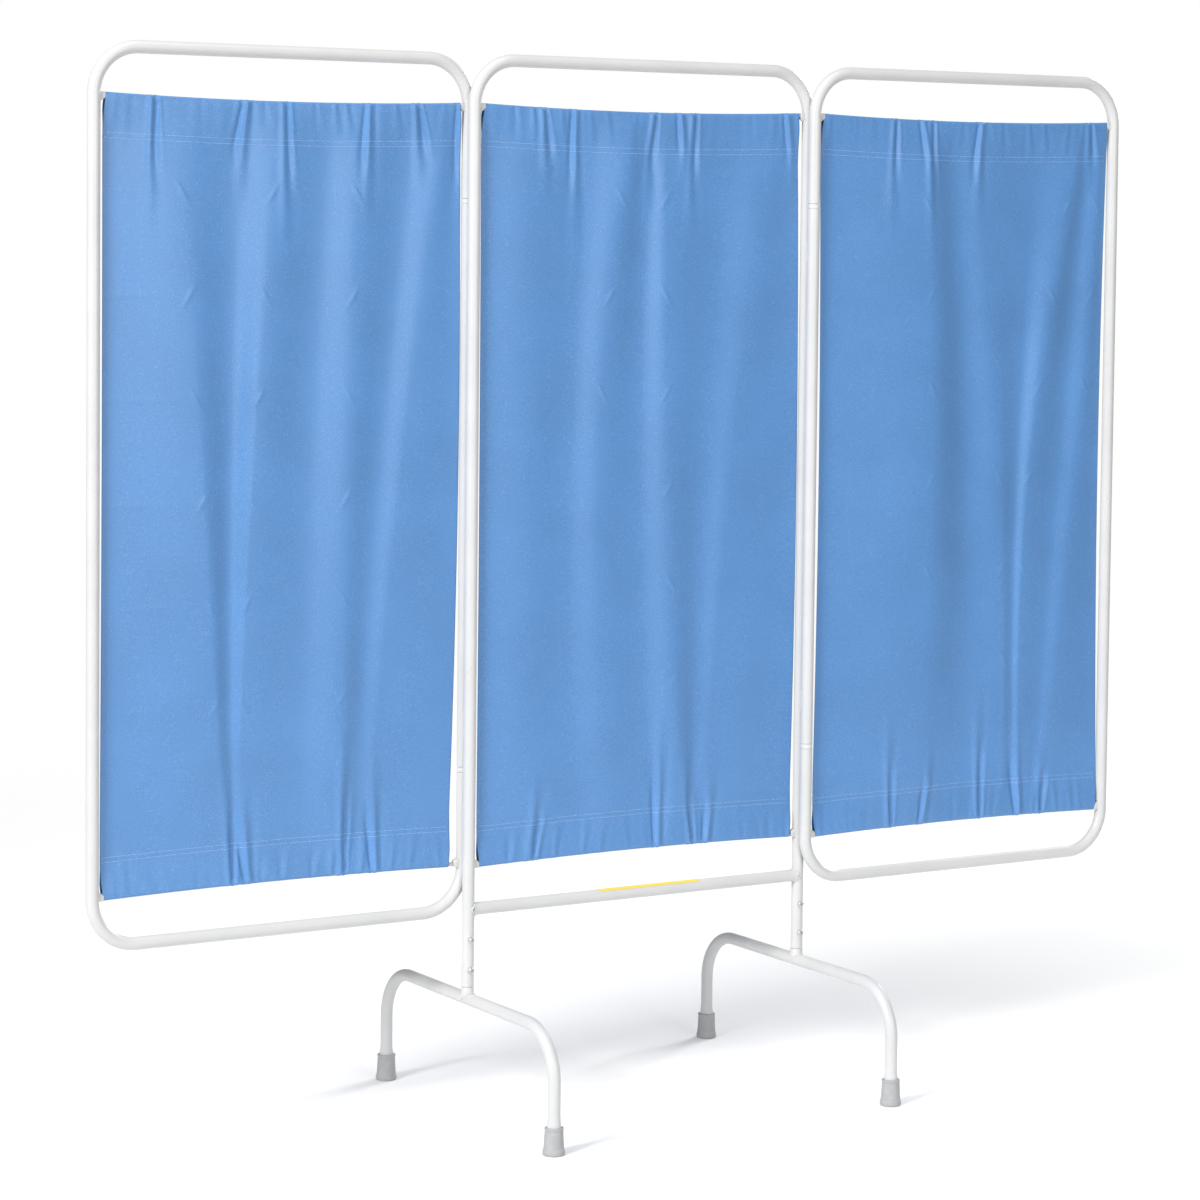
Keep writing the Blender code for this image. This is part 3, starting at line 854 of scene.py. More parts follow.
@dataclass
class Rod:
    """A bowed round rod and the two notched lugs that hold it."""

    node: str
    hooks: tuple[str, str]
    stiles: tuple[float, float]
    opens: int
    body: str
    tube_r: float
    hook_reach: float = 0.0075
    half_width: float = 0.005
    lip: float = 0.0045
    root: float = 0.0115
    tip: float = 0.0060
    play: float = 0.0005

    def __post_init__(self) -> None:
        """Read the rod's size and bow from its CAD box."""
        box = Box.of(self.node)
        self.radius = box.size.y / 2
        self.plane = box.middle.y
        self.low_x, self.high_x = box.low.x, box.high.x
        sag = box.size.z - 2 * self.radius
        self.ends_z = box.high.z - self.radius if self.opens > 0 else box.low.z + self.radius
        self.bow = -self.opens * sag

    def height(self, x: np.ndarray | float) -> np.ndarray | float:
        """Return the height of the rod's axis at x."""
        t = (2 * np.asarray(x) - self.low_x - self.high_x) / (self.high_x - self.low_x)
        return self.ends_z + self.bow * (1 - t * t)

    def build(self) -> None:
        """Build the rod with domed ends, and its lugs."""
        dome = [(0.0, 0.30), (0.0006, 0.66), (0.0016, 0.90), (0.0030, 1.0)]
        inner = [self.low_x + 0.004 + (self.high_x - self.low_x - 0.008) * k / 40 for k in range(41)]
        rows = [(self.low_x + d, k) for d, k in dome] + [(x, 1.0) for x in inner]
        rows += [(self.high_x - d, k) for d, k in reversed(dome)]
        bm = bmesh.new()
        sweep(bm, [Vector((x, self.plane, float(self.height(x)))) for x, _ in rows],
              [self.radius * k for _, k in rows], 24)
        add_piece(self.node + "_bar", bm, BRIGHT, self.body, (self.node,), 60.0)
        for hook, stile, inward in zip(self.hooks, self.stiles, (1, -1)):
            self.lug(hook, stile, inward)

    def section(self, foot: float) -> list[tuple[float, float]]:
        """Return the lug's outline across the rod: a block with a round-bottomed notch."""
        slot = self.radius + self.play
        outline = [(-self.half_width, self.lip), (-slot, self.lip)]
        outline += [(-slot * math.cos(TURN / 2 * i / 12), -slot * math.sin(TURN / 2 * i / 12))
                    for i in range(13)]
        outline += [(slot, self.lip), (self.half_width, self.lip), (self.half_width, -foot * 0.6),
                    (self.half_width * 0.6, -foot),
                    (-self.half_width * 0.6, -foot), (-self.half_width, -foot * 0.6)]
        return outline

    def lug(self, node: str, stile: float, inward: int) -> None:
        """Build one lug and the bead that joins it to its stile."""
        start = stile + inward * (self.tube_r - 0.0030)
        end = stile + inward * (self.tube_r + self.hook_reach)
        rings = []
        for along, shrink in ((0.0, 1.0), (0.25, 1.0), (0.80, 1.0), (0.93, 0.975), (1.0, 0.90)):
            x = start + (end - start) * along
            foot = self.root + (self.tip - self.root) * along
            rings.append([(x, self.plane + a * shrink, self.ends_z + self.opens * b * shrink)
                          for a, b in self.section(foot)])
        bm = bmesh.new()
        skin(bm, rings)
        add_piece(node + "_lug", bm, PAINT, self.body, (node,), 30.0)
        face = stile + inward * (self.tube_r - 0.0004)
        for edge, side in (("front", -1), ("back", 1)):
            y = self.plane + side * self.half_width
            depth = self.tube_r - math.sqrt(self.tube_r ** 2 - self.half_width ** 2)
            x = face - inward * depth
            path = [Vector((x, y, self.ends_z - self.opens * self.root * 0.9)),
                    Vector((x, y, self.ends_z + self.opens * self.lip * 0.8))]
            Bead(f"{node}_weld_{edge}", path, 0.0012, self.body).build()


def bend(values: tuple[float, float, float], way: float) -> float:
    """Return a value on the curve through a top, a middle and a foot value; way runs from 0 to 1."""
    top, middle, foot = values
    return top * (1 - way) * (1 - 2 * way) + 4 * middle * way * (1 - way) + foot * way * (2 * way - 1)


FULLNESS = 1.35
SET_BACK = 2.5
EDGE_REST = 0.319
FOLD_TOP, FOLD_FOOT = 1.60, 0.52
NARROW_FOLD = 45.0
VALLEY_SHARE = 0.6
LOW_GATHER = 1.5
PACKING_TOP, PACKING_PITCH, PACKING_COUNT = 1.54, 0.165, 6
PACKING_HEIGHT, PACKING_HALF_WIDTH = 0.30, 0.0032
BUNCH_LEAN = 12
BUNCH_REACH, BUNCH_MORE_REACH = 50, 60
CREASE_HEIGHT, CREASE_WIDTH = -2.2, 4
RIDGE_HEIGHT, RIDGE_WIDTH = 1.6, 6
RIDGE_ASIDE = 9
SMALL_TUCKS = 16
SMALL_TUCK_REACH, SMALL_TUCK_MORE_REACH = 25, 35
SMALL_TUCK_LEAN = 8
SMALL_TUCK_WIDTH = 5
TUCKED_HALF = 310
PINCH_FOLD = 4.0
PINCH_HEIGHT, PINCH_HALF_LENGTH, PINCH_HALF_WIDTH = 1.1, 0.014, 0.0034
PINCH_LEAN = 0.009
GOLDEN = 0.618


def scatter(number: int, start: float) -> float:
    """Return an evenly scattered share from 0 to 1 for a running number."""
    return (number * GOLDEN + start) % 1.0


@dataclass(frozen=True)
class Fold:
    """A long fold from rod to rod: its crest's place from the sheet's middle and its height, in millimetres.

    Both are given at the top, the middle and the foot.
    """

    crest: tuple[int, int, int]
    height: tuple[int, int, int]


@dataclass(frozen=True)
class Tuck:
    """A gather or groove that starts at a rod and fades along the sheet, in millimetres.

    It runs from at_rod to at_end over its reach. A positive height stands out and a negative one is a crease.
    """

    at_rod: float
    at_end: float
    reach: float
    height: float
    width: float


@dataclass(frozen=True)
class Pinch:
    """A short wrinkle where a fold's crest meets a packing crease: its middle in metres and its lean."""

    across: float
    level: float
    lean: int


@dataclass(frozen=True)
class Drape:
    """How one curtain hangs, in millimetres.

    Each valley lies past half way to the next crest, so a fold's right flank is the wider. The sheet is
    bunched on the rods at a few places. The edges hang wider or narrower than at rest at the top, the
    middle and the foot. The phase sets the small irregular tucks apart from its neighbours'.
    """

    folds: tuple[Fold, ...]
    bunched_top: tuple[int, ...]
    bunched_low: tuple[int, ...]
    low_edge: tuple[int, int, int]
    high_edge: tuple[int, int, int]
    phase: float

    def depth(self, x: np.ndarray, way: float) -> np.ndarray:
        """Return the folds' depth towards the front at places x.

        Args:
            x: distances from the sheet's middle, in millimetres.
            way: how far down the folds, from 0 to 1.

        Returns:
            The depths, in millimetres.
        """
        crests = [bend(fold.crest, way) for fold in self.folds]
        edge = EDGE_REST / MM
        valleys = [-edge, *(a + (b - a) * VALLEY_SHARE for a, b in zip(crests, crests[1:])), edge]
        depths = np.zeros(len(crests) + len(valleys))
        for k, (crest, fold) in enumerate(zip(crests, self.folds)):
            room = min(crest - valleys[k], valleys[k + 1] - crest)
            depths[2 * k + 1] = bend(fold.height, way) * min(1.0, room / NARROW_FOLD)
        places = np.array(sorted(valleys + crests))
        at = np.clip(np.searchsorted(places, x) - 1, 0, len(places) - 2)
        share = np.clip((x - places[at]) / (places[at + 1] - places[at]), 0.0, 1.0)
        return depths[at] + (depths[at + 1] - depths[at]) * (0.5 - 0.5 * np.cos(np.pi * share))

    def tucks(self, bunched: tuple[int, ...]) -> list[Tuck]:
        """Return the tucks at one rod: a crease and a ridge at each bunched place, and small ones between."""
        found: list[Tuck] = []
        for k, place in enumerate(bunched):
            lean = 2 * BUNCH_LEAN * scatter(k, self.phase) - BUNCH_LEAN
            reach = BUNCH_REACH + BUNCH_MORE_REACH * scatter(k, self.phase + 0.3)
            aside = place + RIDGE_ASIDE * (1 if k % 2 else -1)
            found.append(Tuck(place, place + lean, reach, CREASE_HEIGHT, CREASE_WIDTH))
            found.append(Tuck(aside, aside + lean, reach * 1.6, RIDGE_HEIGHT, RIDGE_WIDTH))
        for k in range(SMALL_TUCKS):
            place = 2 * TUCKED_HALF * scatter(k, self.phase) - TUCKED_HALF
            at_end = place + 2 * SMALL_TUCK_LEAN * scatter(k, 0.5) - SMALL_TUCK_LEAN
            reach = SMALL_TUCK_REACH + SMALL_TUCK_MORE_REACH * scatter(k, 0.2)
            height = 1.0 - 1.8 * scatter(k, self.phase * 2.0)
            found.append(Tuck(place, at_end, reach, height, SMALL_TUCK_WIDTH))
        return found

    def pinches(self) -> list[Pinch]:
        """Return the pinches where the taller folds cross the packing creases."""
        found = []
        for number in range(PACKING_COUNT):
            level = PACKING_TOP - PACKING_PITCH * number
            way = (FOLD_TOP - level) / (FOLD_TOP - FOLD_FOOT)
            tall = [fold for fold in self.folds if bend(fold.height, way) > PINCH_FOLD]
            found += [Pinch(bend(fold.crest, way) * MM, level, 1 if (number + k) % 2 else -1)
                      for k, fold in enumerate(tall)]
        return found


LEFT_DRAPE = Drape(
    folds=(Fold((-190, -150, -110), (5, 7, 6)), Fold((-20, -60, -80), (4, 7, 5)),
           Fold((130, 110, 100), (4, 5, 4)), Fold((280, 210, 160), (4, 3, 2))),
    bunched_top=(-230, -80, 0, 140, 240, 310), bunched_low=(-90, -70, 110, 160),
    low_edge=(0, 0, 2), high_edge=(0, 2, -10), phase=0.4)

CENTRE_DRAPE = Drape(
    folds=(Fold((-230, -230, -230), (3, 3, 3)), Fold((-40, -90, -60), (5, 4, 3)),
           Fold((40, 50, 80), (4, 5, 5)), Fold((250, 180, 140), (3, 3, 2))),
    bunched_top=(-200, -150, 20, 60, 100, 280), bunched_low=(-210, 30, 110, 130),
    low_edge=(2, 0, 0), high_edge=(-4, 2, -3), phase=1.9)

RIGHT_DRAPE = Drape(
    folds=(Fold((-100, -80, -110), (8, 12, 7)), Fold((20, 80, 100), (3, 4, 4)),
           Fold((240, 150, 140), (5, 7, 6)), Fold((300, 260, 200), (4, 4, 3))),
    bunched_top=(-160, -110, -80, 20, 280), bunched_low=(-150, -90, 50, 130, 190),
    low_edge=(2, -4, 0), high_edge=(0, -6, 2), phase=3.3)


@dataclass
class Curtain:
    """A vinyl sheet gathered on two rods, with a stitched pocket round each."""

    panel: str
    body: str
    drape: Drape
    upper: Rod
    lower: Rod
    middle: float
    plane: float
    loop_r: float = 0.0045
    seams: tuple[float, float] = (0.0575, 0.0660)
    low_seams: tuple[float, float] = (0.0560, 0.0635)
    flap: float = 0.0045
    hem: float = 0.012
    columns: int = 340
    body_rows: int = 262
    stand: float = 0.0022
    seam_rows: list[tuple[int, int]] = field(default_factory=list)

    def pocket_depths(self, seams: tuple[float, float]) -> list[float]:
        """Return distances from the rod's axis down a pocket, close together at the seams."""
        plain = list(np.linspace(0.0, seams[0] - 0.0045, 17))
        near = [-0.0030, -0.0015, -0.0007, 0.0, 0.0007, 0.0015]
        ends = [seams[0] + d for d in near] + [seams[1] + d for d in near] + [seams[1] + 0.0030]
        return plain + [d for i, d in enumerate(sorted(ends)) if i == 0 or d - sorted(ends)[i - 1] > 0.0003]

    def build(self) -> None:
        points = self.grid()
        count, wide = points.shape[0], points.shape[1]
        index = np.arange(count * wide).reshape(count, wide)
        quads = np.stack([index[:-1, :-1], index[:-1, 1:], index[1:, 1:], index[1:, :-1]], -1).reshape(-1, 4)
        mesh = bpy.data.meshes.new(f"{self.panel}_sheet")
        mesh.from_pydata(points.reshape(-1, 3).tolist(), [], quads.tolist())
        mesh.shade_smooth()
        sheet = place_piece(f"{self.panel}_sheet", mesh, VINYL, self.body,
                            (f"{self.panel}_curtain",))
        stitches = self.stitch(points)

    def way_down(self, level: float) -> float:
        """Return how far down the folds a level lies: 0 at their top and 1 at their foot."""
        return min(1.0, max(0.0, (FOLD_TOP - level) / (FOLD_TOP - FOLD_FOOT)))

    def relief(self, x: np.ndarray, level: float) -> np.ndarray:
        """Return the folds' depth towards the front at a level, in metres."""
        return (self.drape.depth(x / MM, self.way_down(level)) - SET_BACK) * MM * FULLNESS

    def gathers(self, x: np.ndarray, from_top: float, from_low: float) -> np.ndarray:
        """Return how far tucks and small gathers stand out near the rods, in metres.

        Args:
            x: distances from the sheet's middle.
            from_top: distance below the upper rod.
            from_low: distance above the lower rod.

        Returns:
            The height at each place, below zero in a crease.
        """
        total = np.zeros_like(x)
        phase = self.drape.phase
        top, low = (self.drape.bunched_top, from_top / MM), (self.drape.bunched_low, from_low / MM)
        for bunched, away in (top, low):
            gain = LOW_GATHER if bunched is self.drape.bunched_low else 1.0
            for tuck in self.drape.tucks(bunched):
                if away > tuck.reach * 1.6:
                    continue
                share = min(1.0, away / tuck.reach)
                middle = tuck.at_rod + (tuck.at_end - tuck.at_rod) * share
                d = (x / MM - middle) / (tuck.width * (0.8 + 0.8 * share))
                fade = float(1 - ease(away, tuck.reach * 0.6, tuck.reach * 1.6))
                total += gain * tuck.height * fade * (np.exp(-d * d) - 0.4 * np.exp(-((d - 1.8) ** 2)))
            fade = 0.10 * float(1 - ease(away, 20.0, 115.0))
            total += fade * (np.sin(x * 148 + phase) + 0.8 * np.sin(x * 263 + phase * 2.3))
        return total * MM

    def packing(self, x: np.ndarray, z: np.ndarray) -> np.ndarray:
        """Return the faint level creases left by packing, in metres."""
        total = np.zeros_like(x)
        for k in range(PACKING_COUNT):
            level = PACKING_TOP - PACKING_PITCH * k
            shown = 0.5 + 0.5 * np.sin(x * (17 + 3 * k) + self.drape.phase * (k + 2))
            wander = 0.0012 * np.sin(x * 21 + k)
            total += PACKING_HEIGHT * MM * shown * np.exp(-(((z - level - wander) / PACKING_HALF_WIDTH) ** 2))
        return total

    def pinches(self, x: np.ndarray, z: np.ndarray) -> np.ndarray:
        """Return the short leaning wrinkles on the packing creases, in metres."""
        total = np.zeros_like(x)
        for pinch in self.drape.pinches():
            run = (z - pinch.level) / PINCH_HALF_LENGTH
            side = (x - pinch.across - pinch.lean * PINCH_LEAN * run) / PINCH_HALF_WIDTH
            total += PINCH_HEIGHT * MM * np.exp(-(run * run) - side * side)
        return total

    def front_row(self, x: np.ndarray, z: np.ndarray, from_top: float, from_low: float) -> np.ndarray:
        """Return the front layer's distance in front of the rods' plane along one row."""
        level = float(z.mean())
        near = min(from_top, from_low)
        seams = self.seams if from_top < from_low else self.low_seams
        free = float(ease(near, 0.004, seams[1] + 0.030))
        snug = self.loop_r + (self.stand - self.loop_r) * float(ease(near, 0.0, seams[0]))
        pull = sum(math.exp(-(((near - s) / 0.0013) ** 2)) for s in seams) * 0.00014
        folds = self.relief(x, level) * (0.25 + 0.75 * free) * float(ease(near, -0.002, 0.02))
        small = self.packing(x, z) * free + self.pinches(x, z) * float(ease(near, 0.002, 0.012))
        front = snug + folds + self.gathers(x, from_top, from_low) + small - pull
        return np.maximum(front, self.upper.radius + 0.0004) if near < 0.005 else front

    def grid(self) -> np.ndarray:
        """Return the sheet's points: rows from the upper back flap over, down and under to the lower one.

        Returns:
            An array of rows, columns and coordinates.
        """
        share = np.linspace(0.0, 1.0, self.columns)
        top_depths = self.pocket_depths(self.seams)
        low_depths = self.pocket_depths(self.low_seams)
        flap_top = [d for d in top_depths if d > 0] + [self.seams[1] + self.flap]
        flap_low = [d for d in low_depths if d > 0] + [self.low_seams[1] + self.flap]
        arcs = [math.radians(a) for a in np.linspace(0, 180, 13)]
        rows = []
        rows += [self.back_row(share, d, True) for d in reversed(flap_top)]
        rows += [self.arc_row(share, a, True) for a in arcs]
        rows += [self.plain_row(share, d, True) for d in top_depths if d > 0]
        for k in range(1, self.body_rows):
            rows.append(self.body_row(share, k / self.body_rows))
        rows += [self.plain_row(share, d, False) for d in reversed([d for d in low_depths if d > 0])]
        rows += [self.arc_row(share, a, False) for a in reversed(arcs)]
        rows += [self.back_row(share, d, False) for d in flap_low]
        self.seam_rows = self.find_seams(len(flap_top), len(arcs), top_depths, low_depths)
        return np.stack(rows)

    def find_seams(self, flap: int, arcs: int, top_depths: list[float],
                   low_depths: list[float]) -> list[tuple[int, int]]:
        """Return each stitched row's number and the side it shows on: -1 front, 1 back."""
        tops = [d for d in top_depths if d > 0]
        lows = [d for d in low_depths if d > 0]
        found = []
        for seam in self.seams:
            at = int(np.argmin([abs(d - seam) for d in tops]))
            found += [(flap + arcs + at, -1), (flap - 1 - at, 1)]
        start = flap + arcs + len(tops) + self.body_rows - 1
        for seam in self.low_seams:
            at = int(np.argmin([abs(d - seam) for d in lows]))
            found += [(start + len(lows) - 1 - at, -1), (start + len(lows) + arcs + at, 1)]
        return found

    def edges(self, share: np.ndarray, level: float) -> np.ndarray:
        """Return the distances from the middle along a row at a level."""
        pinch = 0.003 * sum(math.exp(-(((level - rod.ends_z) / 0.018) ** 2))
                            for rod in (self.upper, self.lower))
        way = self.way_down(level)
        low = EDGE_REST - pinch + bend(self.drape.low_edge, way) * MM
        high = EDGE_REST - pinch + bend(self.drape.high_edge, way) * MM
        return -low + (high + low) * share

    def finish_row(self, x: np.ndarray, y: np.ndarray, z: np.ndarray, inside: tuple[float, float],
                   room: float) -> np.ndarray:
        """Add the turned-in side hems to a row and put it in the row frame.

        Args:
            x: distances from the sheet's middle.
            y: distances behind the rods' plane.
            z: heights.
            inside: the direction in Y and Z in which the hem is turned.
            room: how far the hem may lie from the layer.

        Returns:
            The row's points.
        """
        steps = [(self.hem, 1.0), (self.hem * 0.55, 1.0), (0.0012, 1.0), (0.0002, 0.72)]
        low = [(x[0] + d, y[0], z[0], k) for d, k in steps]
        high = [(x[-1] - d, y[-1], z[-1], k) for d, k in reversed(steps)]
        wide = []
        for px, py, pz, k in low + [(a, b, c, 0.0) for a, b, c in zip(x, y, z)] + high:
            if k:
                py, pz = float(np.interp(px, x, y)), float(np.interp(px, x, z))
            wide.append((self.middle + px, self.plane + py + inside[0] * room * k, pz + inside[1] * room * k))
        return np.array(wide)

    def rod_for(self, top: bool) -> Rod:
        """Return the rod of the upper or the lower pocket."""
        return self.upper if top else self.lower

    def plain_row(self, share: np.ndarray, depth: float, top: bool) -> np.ndarray:
        """Return a row of a pocket's front layer, at a distance from the rod."""
        rod, down = self.rod_for(top), -1 if top else 1
        x = self.edges(share, rod.ends_z + down * depth)
        z = rod.height(self.middle + x) + down * depth
        far = 1.0
        y = -self.front_row(x, z, depth if top else far, far if top else depth)
        return self.finish_row(x, y, z, (1.0, 0.0), 0.0003 + 0.0006 * float(ease(depth, 0.066, 0.075)))

    def body_row(self, share: np.ndarray, way: float) -> np.ndarray:
        """Return a row of the open sheet between the pockets."""
        top_end, low_end = self.seams[1] + 0.0030, self.low_seams[1] + 0.0030
        guess = (self.upper.ends_z - top_end) * (1 - way) + (self.lower.ends_z + low_end) * way
        x = self.edges(share, guess)
        upper = self.upper.height(self.middle + x) - top_end
        lower = self.lower.height(self.middle + x) + low_end
        z = upper * (1 - way) + lower * way
        from_top = float(self.upper.ends_z - z.mean()) + self.upper.bow * 0.66
        from_low = float(z.mean() - self.lower.ends_z) - self.lower.bow * 0.66
        y = -self.front_row(x, z, from_top, from_low)
        return self.finish_row(x, y, z, (1.0, 0.0), 0.0009)

    def arc_row(self, share: np.ndarray, angle: float, top: bool) -> np.ndarray:
        """Return a row over or under a rod; the angle runs from the back to the front."""
        rod, up = self.rod_for(top), 1 if top else -1
        x = self.edges(share, rod.ends_z)
        axis = rod.height(self.middle + x)
        gather = self.gathers(x, 0.0 if top else 1.0, 1.0 if top else 0.0)
        front = np.maximum(self.loop_r + gather, rod.radius + 0.0004)
        back = self.loop_r - gather * 0.35
        reach = np.where(math.cos(angle) > 0, back, front)
        lift = self.loop_r + np.abs(gather) * 0.30
        y = reach * math.cos(angle)
        z = axis + up * lift * math.sin(angle)
        return self.finish_row(x, y, z, (-math.cos(angle), -up * math.sin(angle)), 0.0003)

    def back_row(self, share: np.ndarray, depth: float, top: bool) -> np.ndarray:
        """Return a row of a pocket's back layer, at a distance from the rod."""
        rod, down = self.rod_for(top), -1 if top else 1
        seams = self.seams if top else self.low_seams
        x = self.edges(share, rod.ends_z + down * depth)
        z = rod.height(self.middle + x) + down * depth
        far = 1.0
        front = self.front_row(x, z, depth if top else far, far if top else depth)
        loose = (1.0 - float(ease(depth, 0.0, seams[0]))) ** 1.2
        gather = self.gathers(x, depth if top else far, far if top else depth)
        gap = 0.0007 + (2 * self.loop_r - 0.0007) * loose
        y = -front + gap + gather * 0.65 * loose
        return self.finish_row(x, y, z, (-1.0, 0.0), 0.0002)

    def stitch(self, points: np.ndarray, pitch: float = 0.0034, length: float = 0.0026) -> bpy.types.Object:
        """Sew the pockets' seams.

        Args:
            points: the sheet's points.
            pitch: from one stitch to the next.
            length: of a stitch.

        Returns:
            The piece with every stitch.
        """
        bm = bmesh.new()
        for number, (row, side) in enumerate(self.seam_rows):
            line = points[row, 5:-5]
            for i in range(int((line[-1, 0] - line[0, 0] - length) / pitch)):
                if (i * 37 + number * 11) % 29 == 0:
                    continue
                x = line[0, 0] + 0.0006 + (i + 0.15 * math.sin(i * 2.1 + number)) * pitch
                ends = []
                for a in (x, x + length / 2, x + length):
                    y, z = (float(np.interp(a, line[:, 0], line[:, k])) for k in (1, 2))
                    ends.append(Vector((a, y + side * 0.00022, z + 0.0001 * math.sin(i * 1.7 + a * 900))))
                sweep(bm, ends, [0.00016, 0.00034, 0.00016], 6)
        return add_piece(f"{self.panel}_stitches", bm, THREAD, self.body, (), 80.0)


@dataclass
class Panel:
    """One frame's curtain set: two rods with their lugs, and a curtain."""

    name: str
    body: str
    sides: tuple[str, str]
    drape: Drape
    tube_r: float
    half: float

    def build(self) -> None:
        """Build the rods and hang the curtain on them."""
        slab = Box.of(f"{self.name}_curtain")
        middle, plane = slab.middle.x, slab.middle.y
        stiles = (middle - self.half, middle + self.half)
        rods = {}
        for place, opens in (("top", 1), ("low", -1)):
            hooks = tuple(f"{self.name}_{place}_hook_{side}" for side in self.sides)
            rods[place] = Rod(f"{self.name}_{place}_rod", hooks, stiles, opens, self.body, self.tube_r)
            rods[place].build()
        Curtain(self.name, self.body, self.drape, rods["top"], rods["low"], middle, plane).build()


@dataclass
class SideFrame:
    """The bent tube of a side panel, which runs up both ends of its hinge stile."""

    side: str
    outward: int
    bend_r: float = 0.075

    def build(self) -> None:
        """Sweep the frame round from the lower bushing to the upper one."""
        box = Box.of(f"{self.side}_frame")
        radius, y = box.size.y / 2, box.middle.y
        hinge = (box.high.x if self.outward < 0 else box.low.x) + self.outward * radius
        outer = (box.low.x if self.outward < 0 else box.high.x) - self.outward * radius
        low, high = box.low.z + radius, box.high.z - radius
        fixed = Box.of(f"hinge_tube_{self.side}")
        gap = Box.of(f"hinge_bushing_{self.side}_lower").middle.z
        start = 2 * gap - fixed.low.z
        end = 2 * Box.of(f"hinge_bushing_{self.side}_upper").middle.z - fixed.high.z
        corners = [(hinge, y, start), (hinge, y, low), (outer, y, low), (outer, y, high), (hinge, y, high),
                   (hinge, y, end)]
        TubeFrame(f"{self.side}_frame", corners, self.bend_r, radius, f"{self.side}_panel").build()


@dataclass
class CentreFrame:
    """The inverted U that the rest of the screen is joined to."""

    bend_r: float = 0.075
    body: str = "centre_panel"

    def build(self) -> tuple[float, float]:
        """Sweep the frame.

        Returns:
            The tube's radius and half the distance between the stiles' axes.
        """
        box = Box.of("centre_frame")
        radius = box.size.y / 2
        half = box.high.x - radius
        top, foot = box.high.z - radius, box.low.z
        corners = [(-half, 0, foot), (-half, 0, top), (half, 0, top), (half, 0, foot)]
        TubeFrame("centre_frame", corners, self.bend_r, radius, self.body).build()
        return radius, half


@dataclass(frozen=True)
class Lamp:
    """A soft square light."""

    name: str
    place: Point
    aim: Point
    side: float
    power: float
    colour: Colour = (1.0, 1.0, 1.0)

    def build(self) -> None:
        """Hang the light and turn it to its aim."""
        data = bpy.data.lights.new(self.name, "AREA")
        data.shape, data.size, data.energy, data.color = "SQUARE", self.side, self.power, self.colour
        lamp = bpy.data.objects.new(self.name, data)
        lamp.location = self.place
        lamp.rotation_euler = (Vector(self.aim) - Vector(self.place)).to_track_quat("-Z", "Y").to_euler()
        bpy.context.scene.collection.objects.link(lamp)


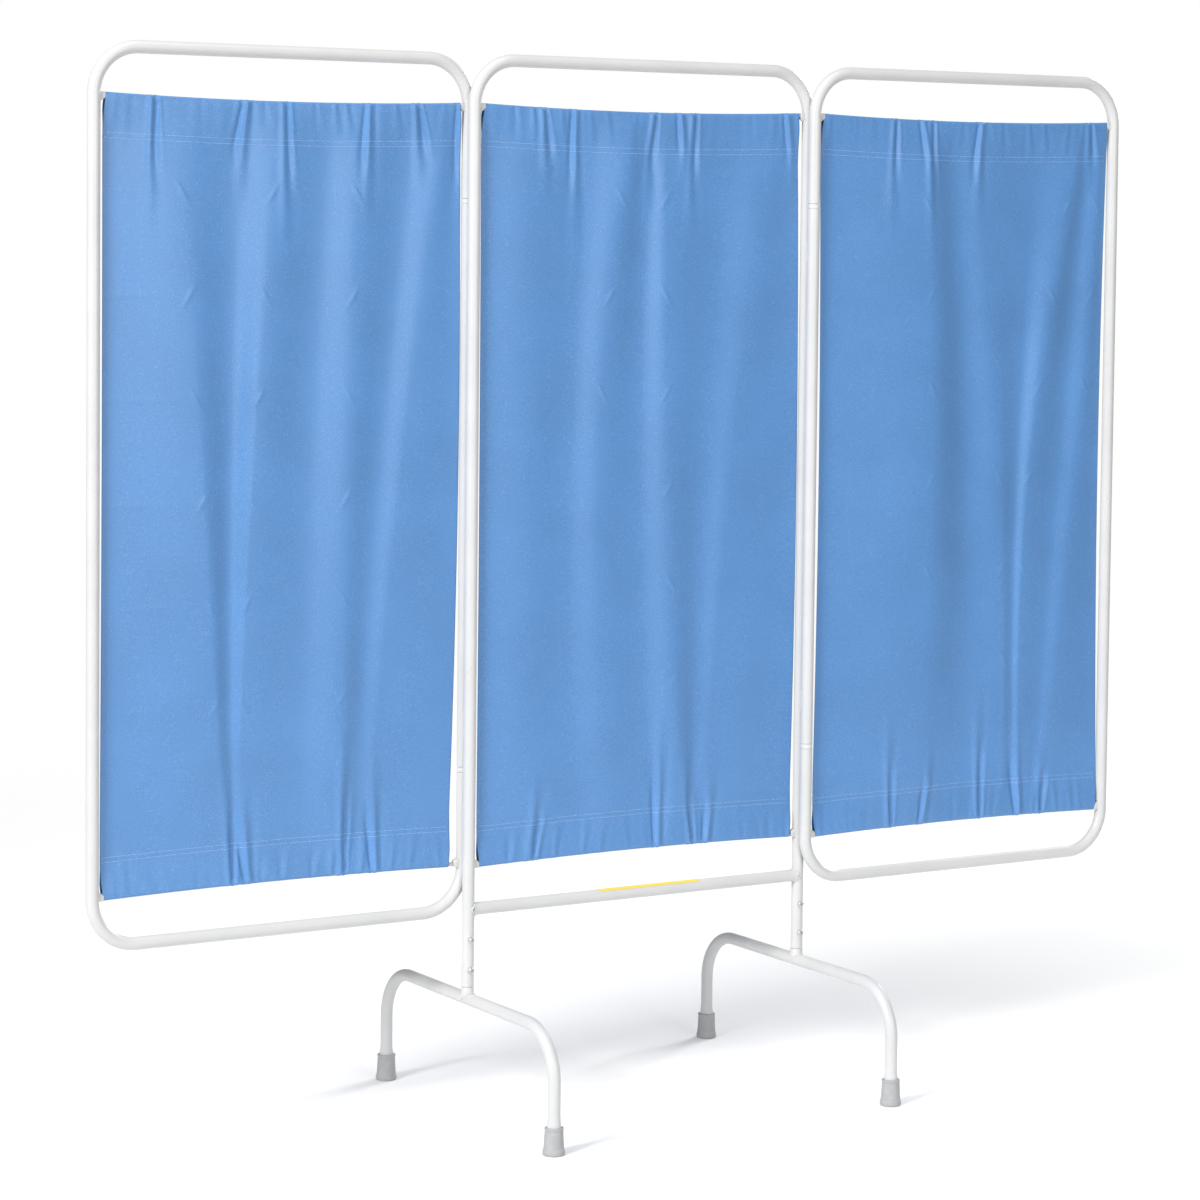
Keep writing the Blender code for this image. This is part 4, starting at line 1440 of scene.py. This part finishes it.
@dataclass
class Studio:
    """Pale floor, soft light and the viewpoint."""

    eye: Point = (-3.18172, -5.07728, 1.48496)
    heading_deg: float = 31.376
    down_deg: float = 3.409
    roll_deg: float = 0.607
    lens: float = 105.31
    shift_y: float = -0.13333
    floor_r: float = 9.0
    ambient: float = 0.42
    lamps: tuple[Lamp, ...] = (
        Lamp("key", (-7.0, -2.6, 4.6), (0.0, 0.0, 1.0), 1.8, 640.0),
        Lamp("fill", (0.1, -5.2, 1.9), (0.0, 0.0, 0.9), 1.5, 62.0),
        Lamp("rim", (6.0, 2.6, 3.2), (0.0, 0.0, 1.0), 2.4, 300.0),
        Lamp("top", (-0.5, -1.3, 5.4), (0.0, 0.0, 0.9), 3.0, 70.0),
    )

    def build(self) -> None:
        """Set up the floor, the sky, the lamps and the camera."""
        self.sky()
        self.floor()
        for lamp in self.lamps:
            lamp.build()
        self.camera()
        bpy.context.scene.view_settings.view_transform = "Standard"

    def sky(self) -> None:
        """Surround the scene with even light that looks white."""
        world = bpy.data.worlds.new("studio")
        world.use_nodes = True
        tree = world.node_tree
        out = tree.nodes["World Output"]
        soft = tree.nodes["Background"]
        soft.inputs["Color"].default_value = (1.0, 1.0, 1.0, 1.0)
        soft.inputs["Strength"].default_value = self.ambient
        seen = tree.nodes.new("ShaderNodeBackground")
        seen.inputs["Color"].default_value = (1.0, 1.0, 1.0, 1.0)
        path = tree.nodes.new("ShaderNodeLightPath")
        pick = tree.nodes.new("ShaderNodeMixShader")
        tree.links.new(path.outputs["Is Camera Ray"], pick.inputs[0])
        tree.links.new(soft.outputs[0], pick.inputs[1])
        tree.links.new(seen.outputs[0], pick.inputs[2])
        tree.links.new(pick.outputs[0], out.inputs["Surface"])
        bpy.context.scene.world = world

    def floor(self) -> None:
        """Lay a round pale floor that fades out at its rim."""
        bm = bmesh.new()
        rings = [0.0, 1.0, 2.0, 3.0, 4.5, 6.5, self.floor_r]
        hub = bm.verts.new((0.0, 0.0, 0.0))
        rows = [[bm.verts.new((r * math.cos(TURN * i / 64), r * math.sin(TURN * i / 64), 0.0))
                 for i in range(64)]
                for r in rings[1:]]
        for i in range(64):
            j = (i + 1) % 64
            bm.faces.new((hub, rows[0][i], rows[0][j]))
            for row, after in zip(rows, rows[1:]):
                bm.faces.new((row[i], after[i], after[j], row[j]))
        mesh = bpy.data.meshes.new("floor")
        bm.to_mesh(mesh)
        bm.free()
        mesh.materials.append(self.floor_paint())
        floor = bpy.data.objects.new("floor", mesh)
        bpy.context.scene.collection.objects.link(floor)

    def floor_paint(self) -> bpy.types.Material:
        """Return the floor's matt white, clear towards the rim."""
        graph = Graph("pale_floor")
        graph.shader.inputs["Base Color"].default_value = (0.93, 0.93, 0.93, 1.0)
        graph.shader.inputs["Roughness"].default_value = 0.8
        graph.shader.inputs["Specular IOR Level"].default_value = 0.2
        away = graph.node("ShaderNodeVectorMath", {"operation": "LENGTH"}, {0: graph.place()}).part("Value")
        clouds = graph.noise(graph.place(), 1.3, 2.0)
        graph.feed("Alpha", (1 - graph.step(away, 1.7, 4.2)) * (clouds * 0.06 + 0.94))
        return graph.material

    def camera(self) -> None:
        """Place the camera."""
        yaw, down, roll = (math.radians(a) for a in (self.heading_deg, self.down_deg, self.roll_deg))
        ahead, up = Vector((math.sin(yaw), math.cos(yaw), 0.0)), Vector((0.0, 0.0, 1.0))
        right = Vector((math.cos(yaw), -math.sin(yaw), 0.0))
        look = ahead * math.cos(down) - up * math.sin(down)
        rise = up * math.cos(down) + ahead * math.sin(down)
        side = right * math.cos(roll) + rise * math.sin(roll)
        top = rise * math.cos(roll) - right * math.sin(roll)
        turn = Matrix((side, top, -look)).transposed().to_4x4()
        data = bpy.data.cameras.new("view")
        data.lens, data.sensor_width, data.shift_y = self.lens, 36.0, self.shift_y
        data.clip_start, data.clip_end = 0.1, 100.0
        camera = bpy.data.objects.new("view", data)
        camera.matrix_world = Matrix.Translation(Vector(self.eye)) @ turn
        bpy.context.scene.collection.objects.link(camera)
        bpy.context.scene.camera = camera


def main() -> None:
    """Build the whole screen and its studio."""
    logging.basicConfig(level=logging.INFO, format="%(name)s: %(message)s")
    Studio().build()
    radius, half = CentreFrame().build()
    CrossRail().build()
    for side, outward in (("left", -1), ("right", 1)):
        Foot(side).build()
        Hinge(side).build()
        SideFrame(side, outward).build()
    Panel("centre", "centre_panel", ("left", "right"), CENTRE_DRAPE, radius, half).build()
    Panel("left", "left_panel", ("outer", "hinge"), LEFT_DRAPE, radius, half).build()
    Panel("right", "right_panel", ("hinge", "outer"), RIGHT_DRAPE, radius, half).build()


if __name__ == "__main__":
    main()
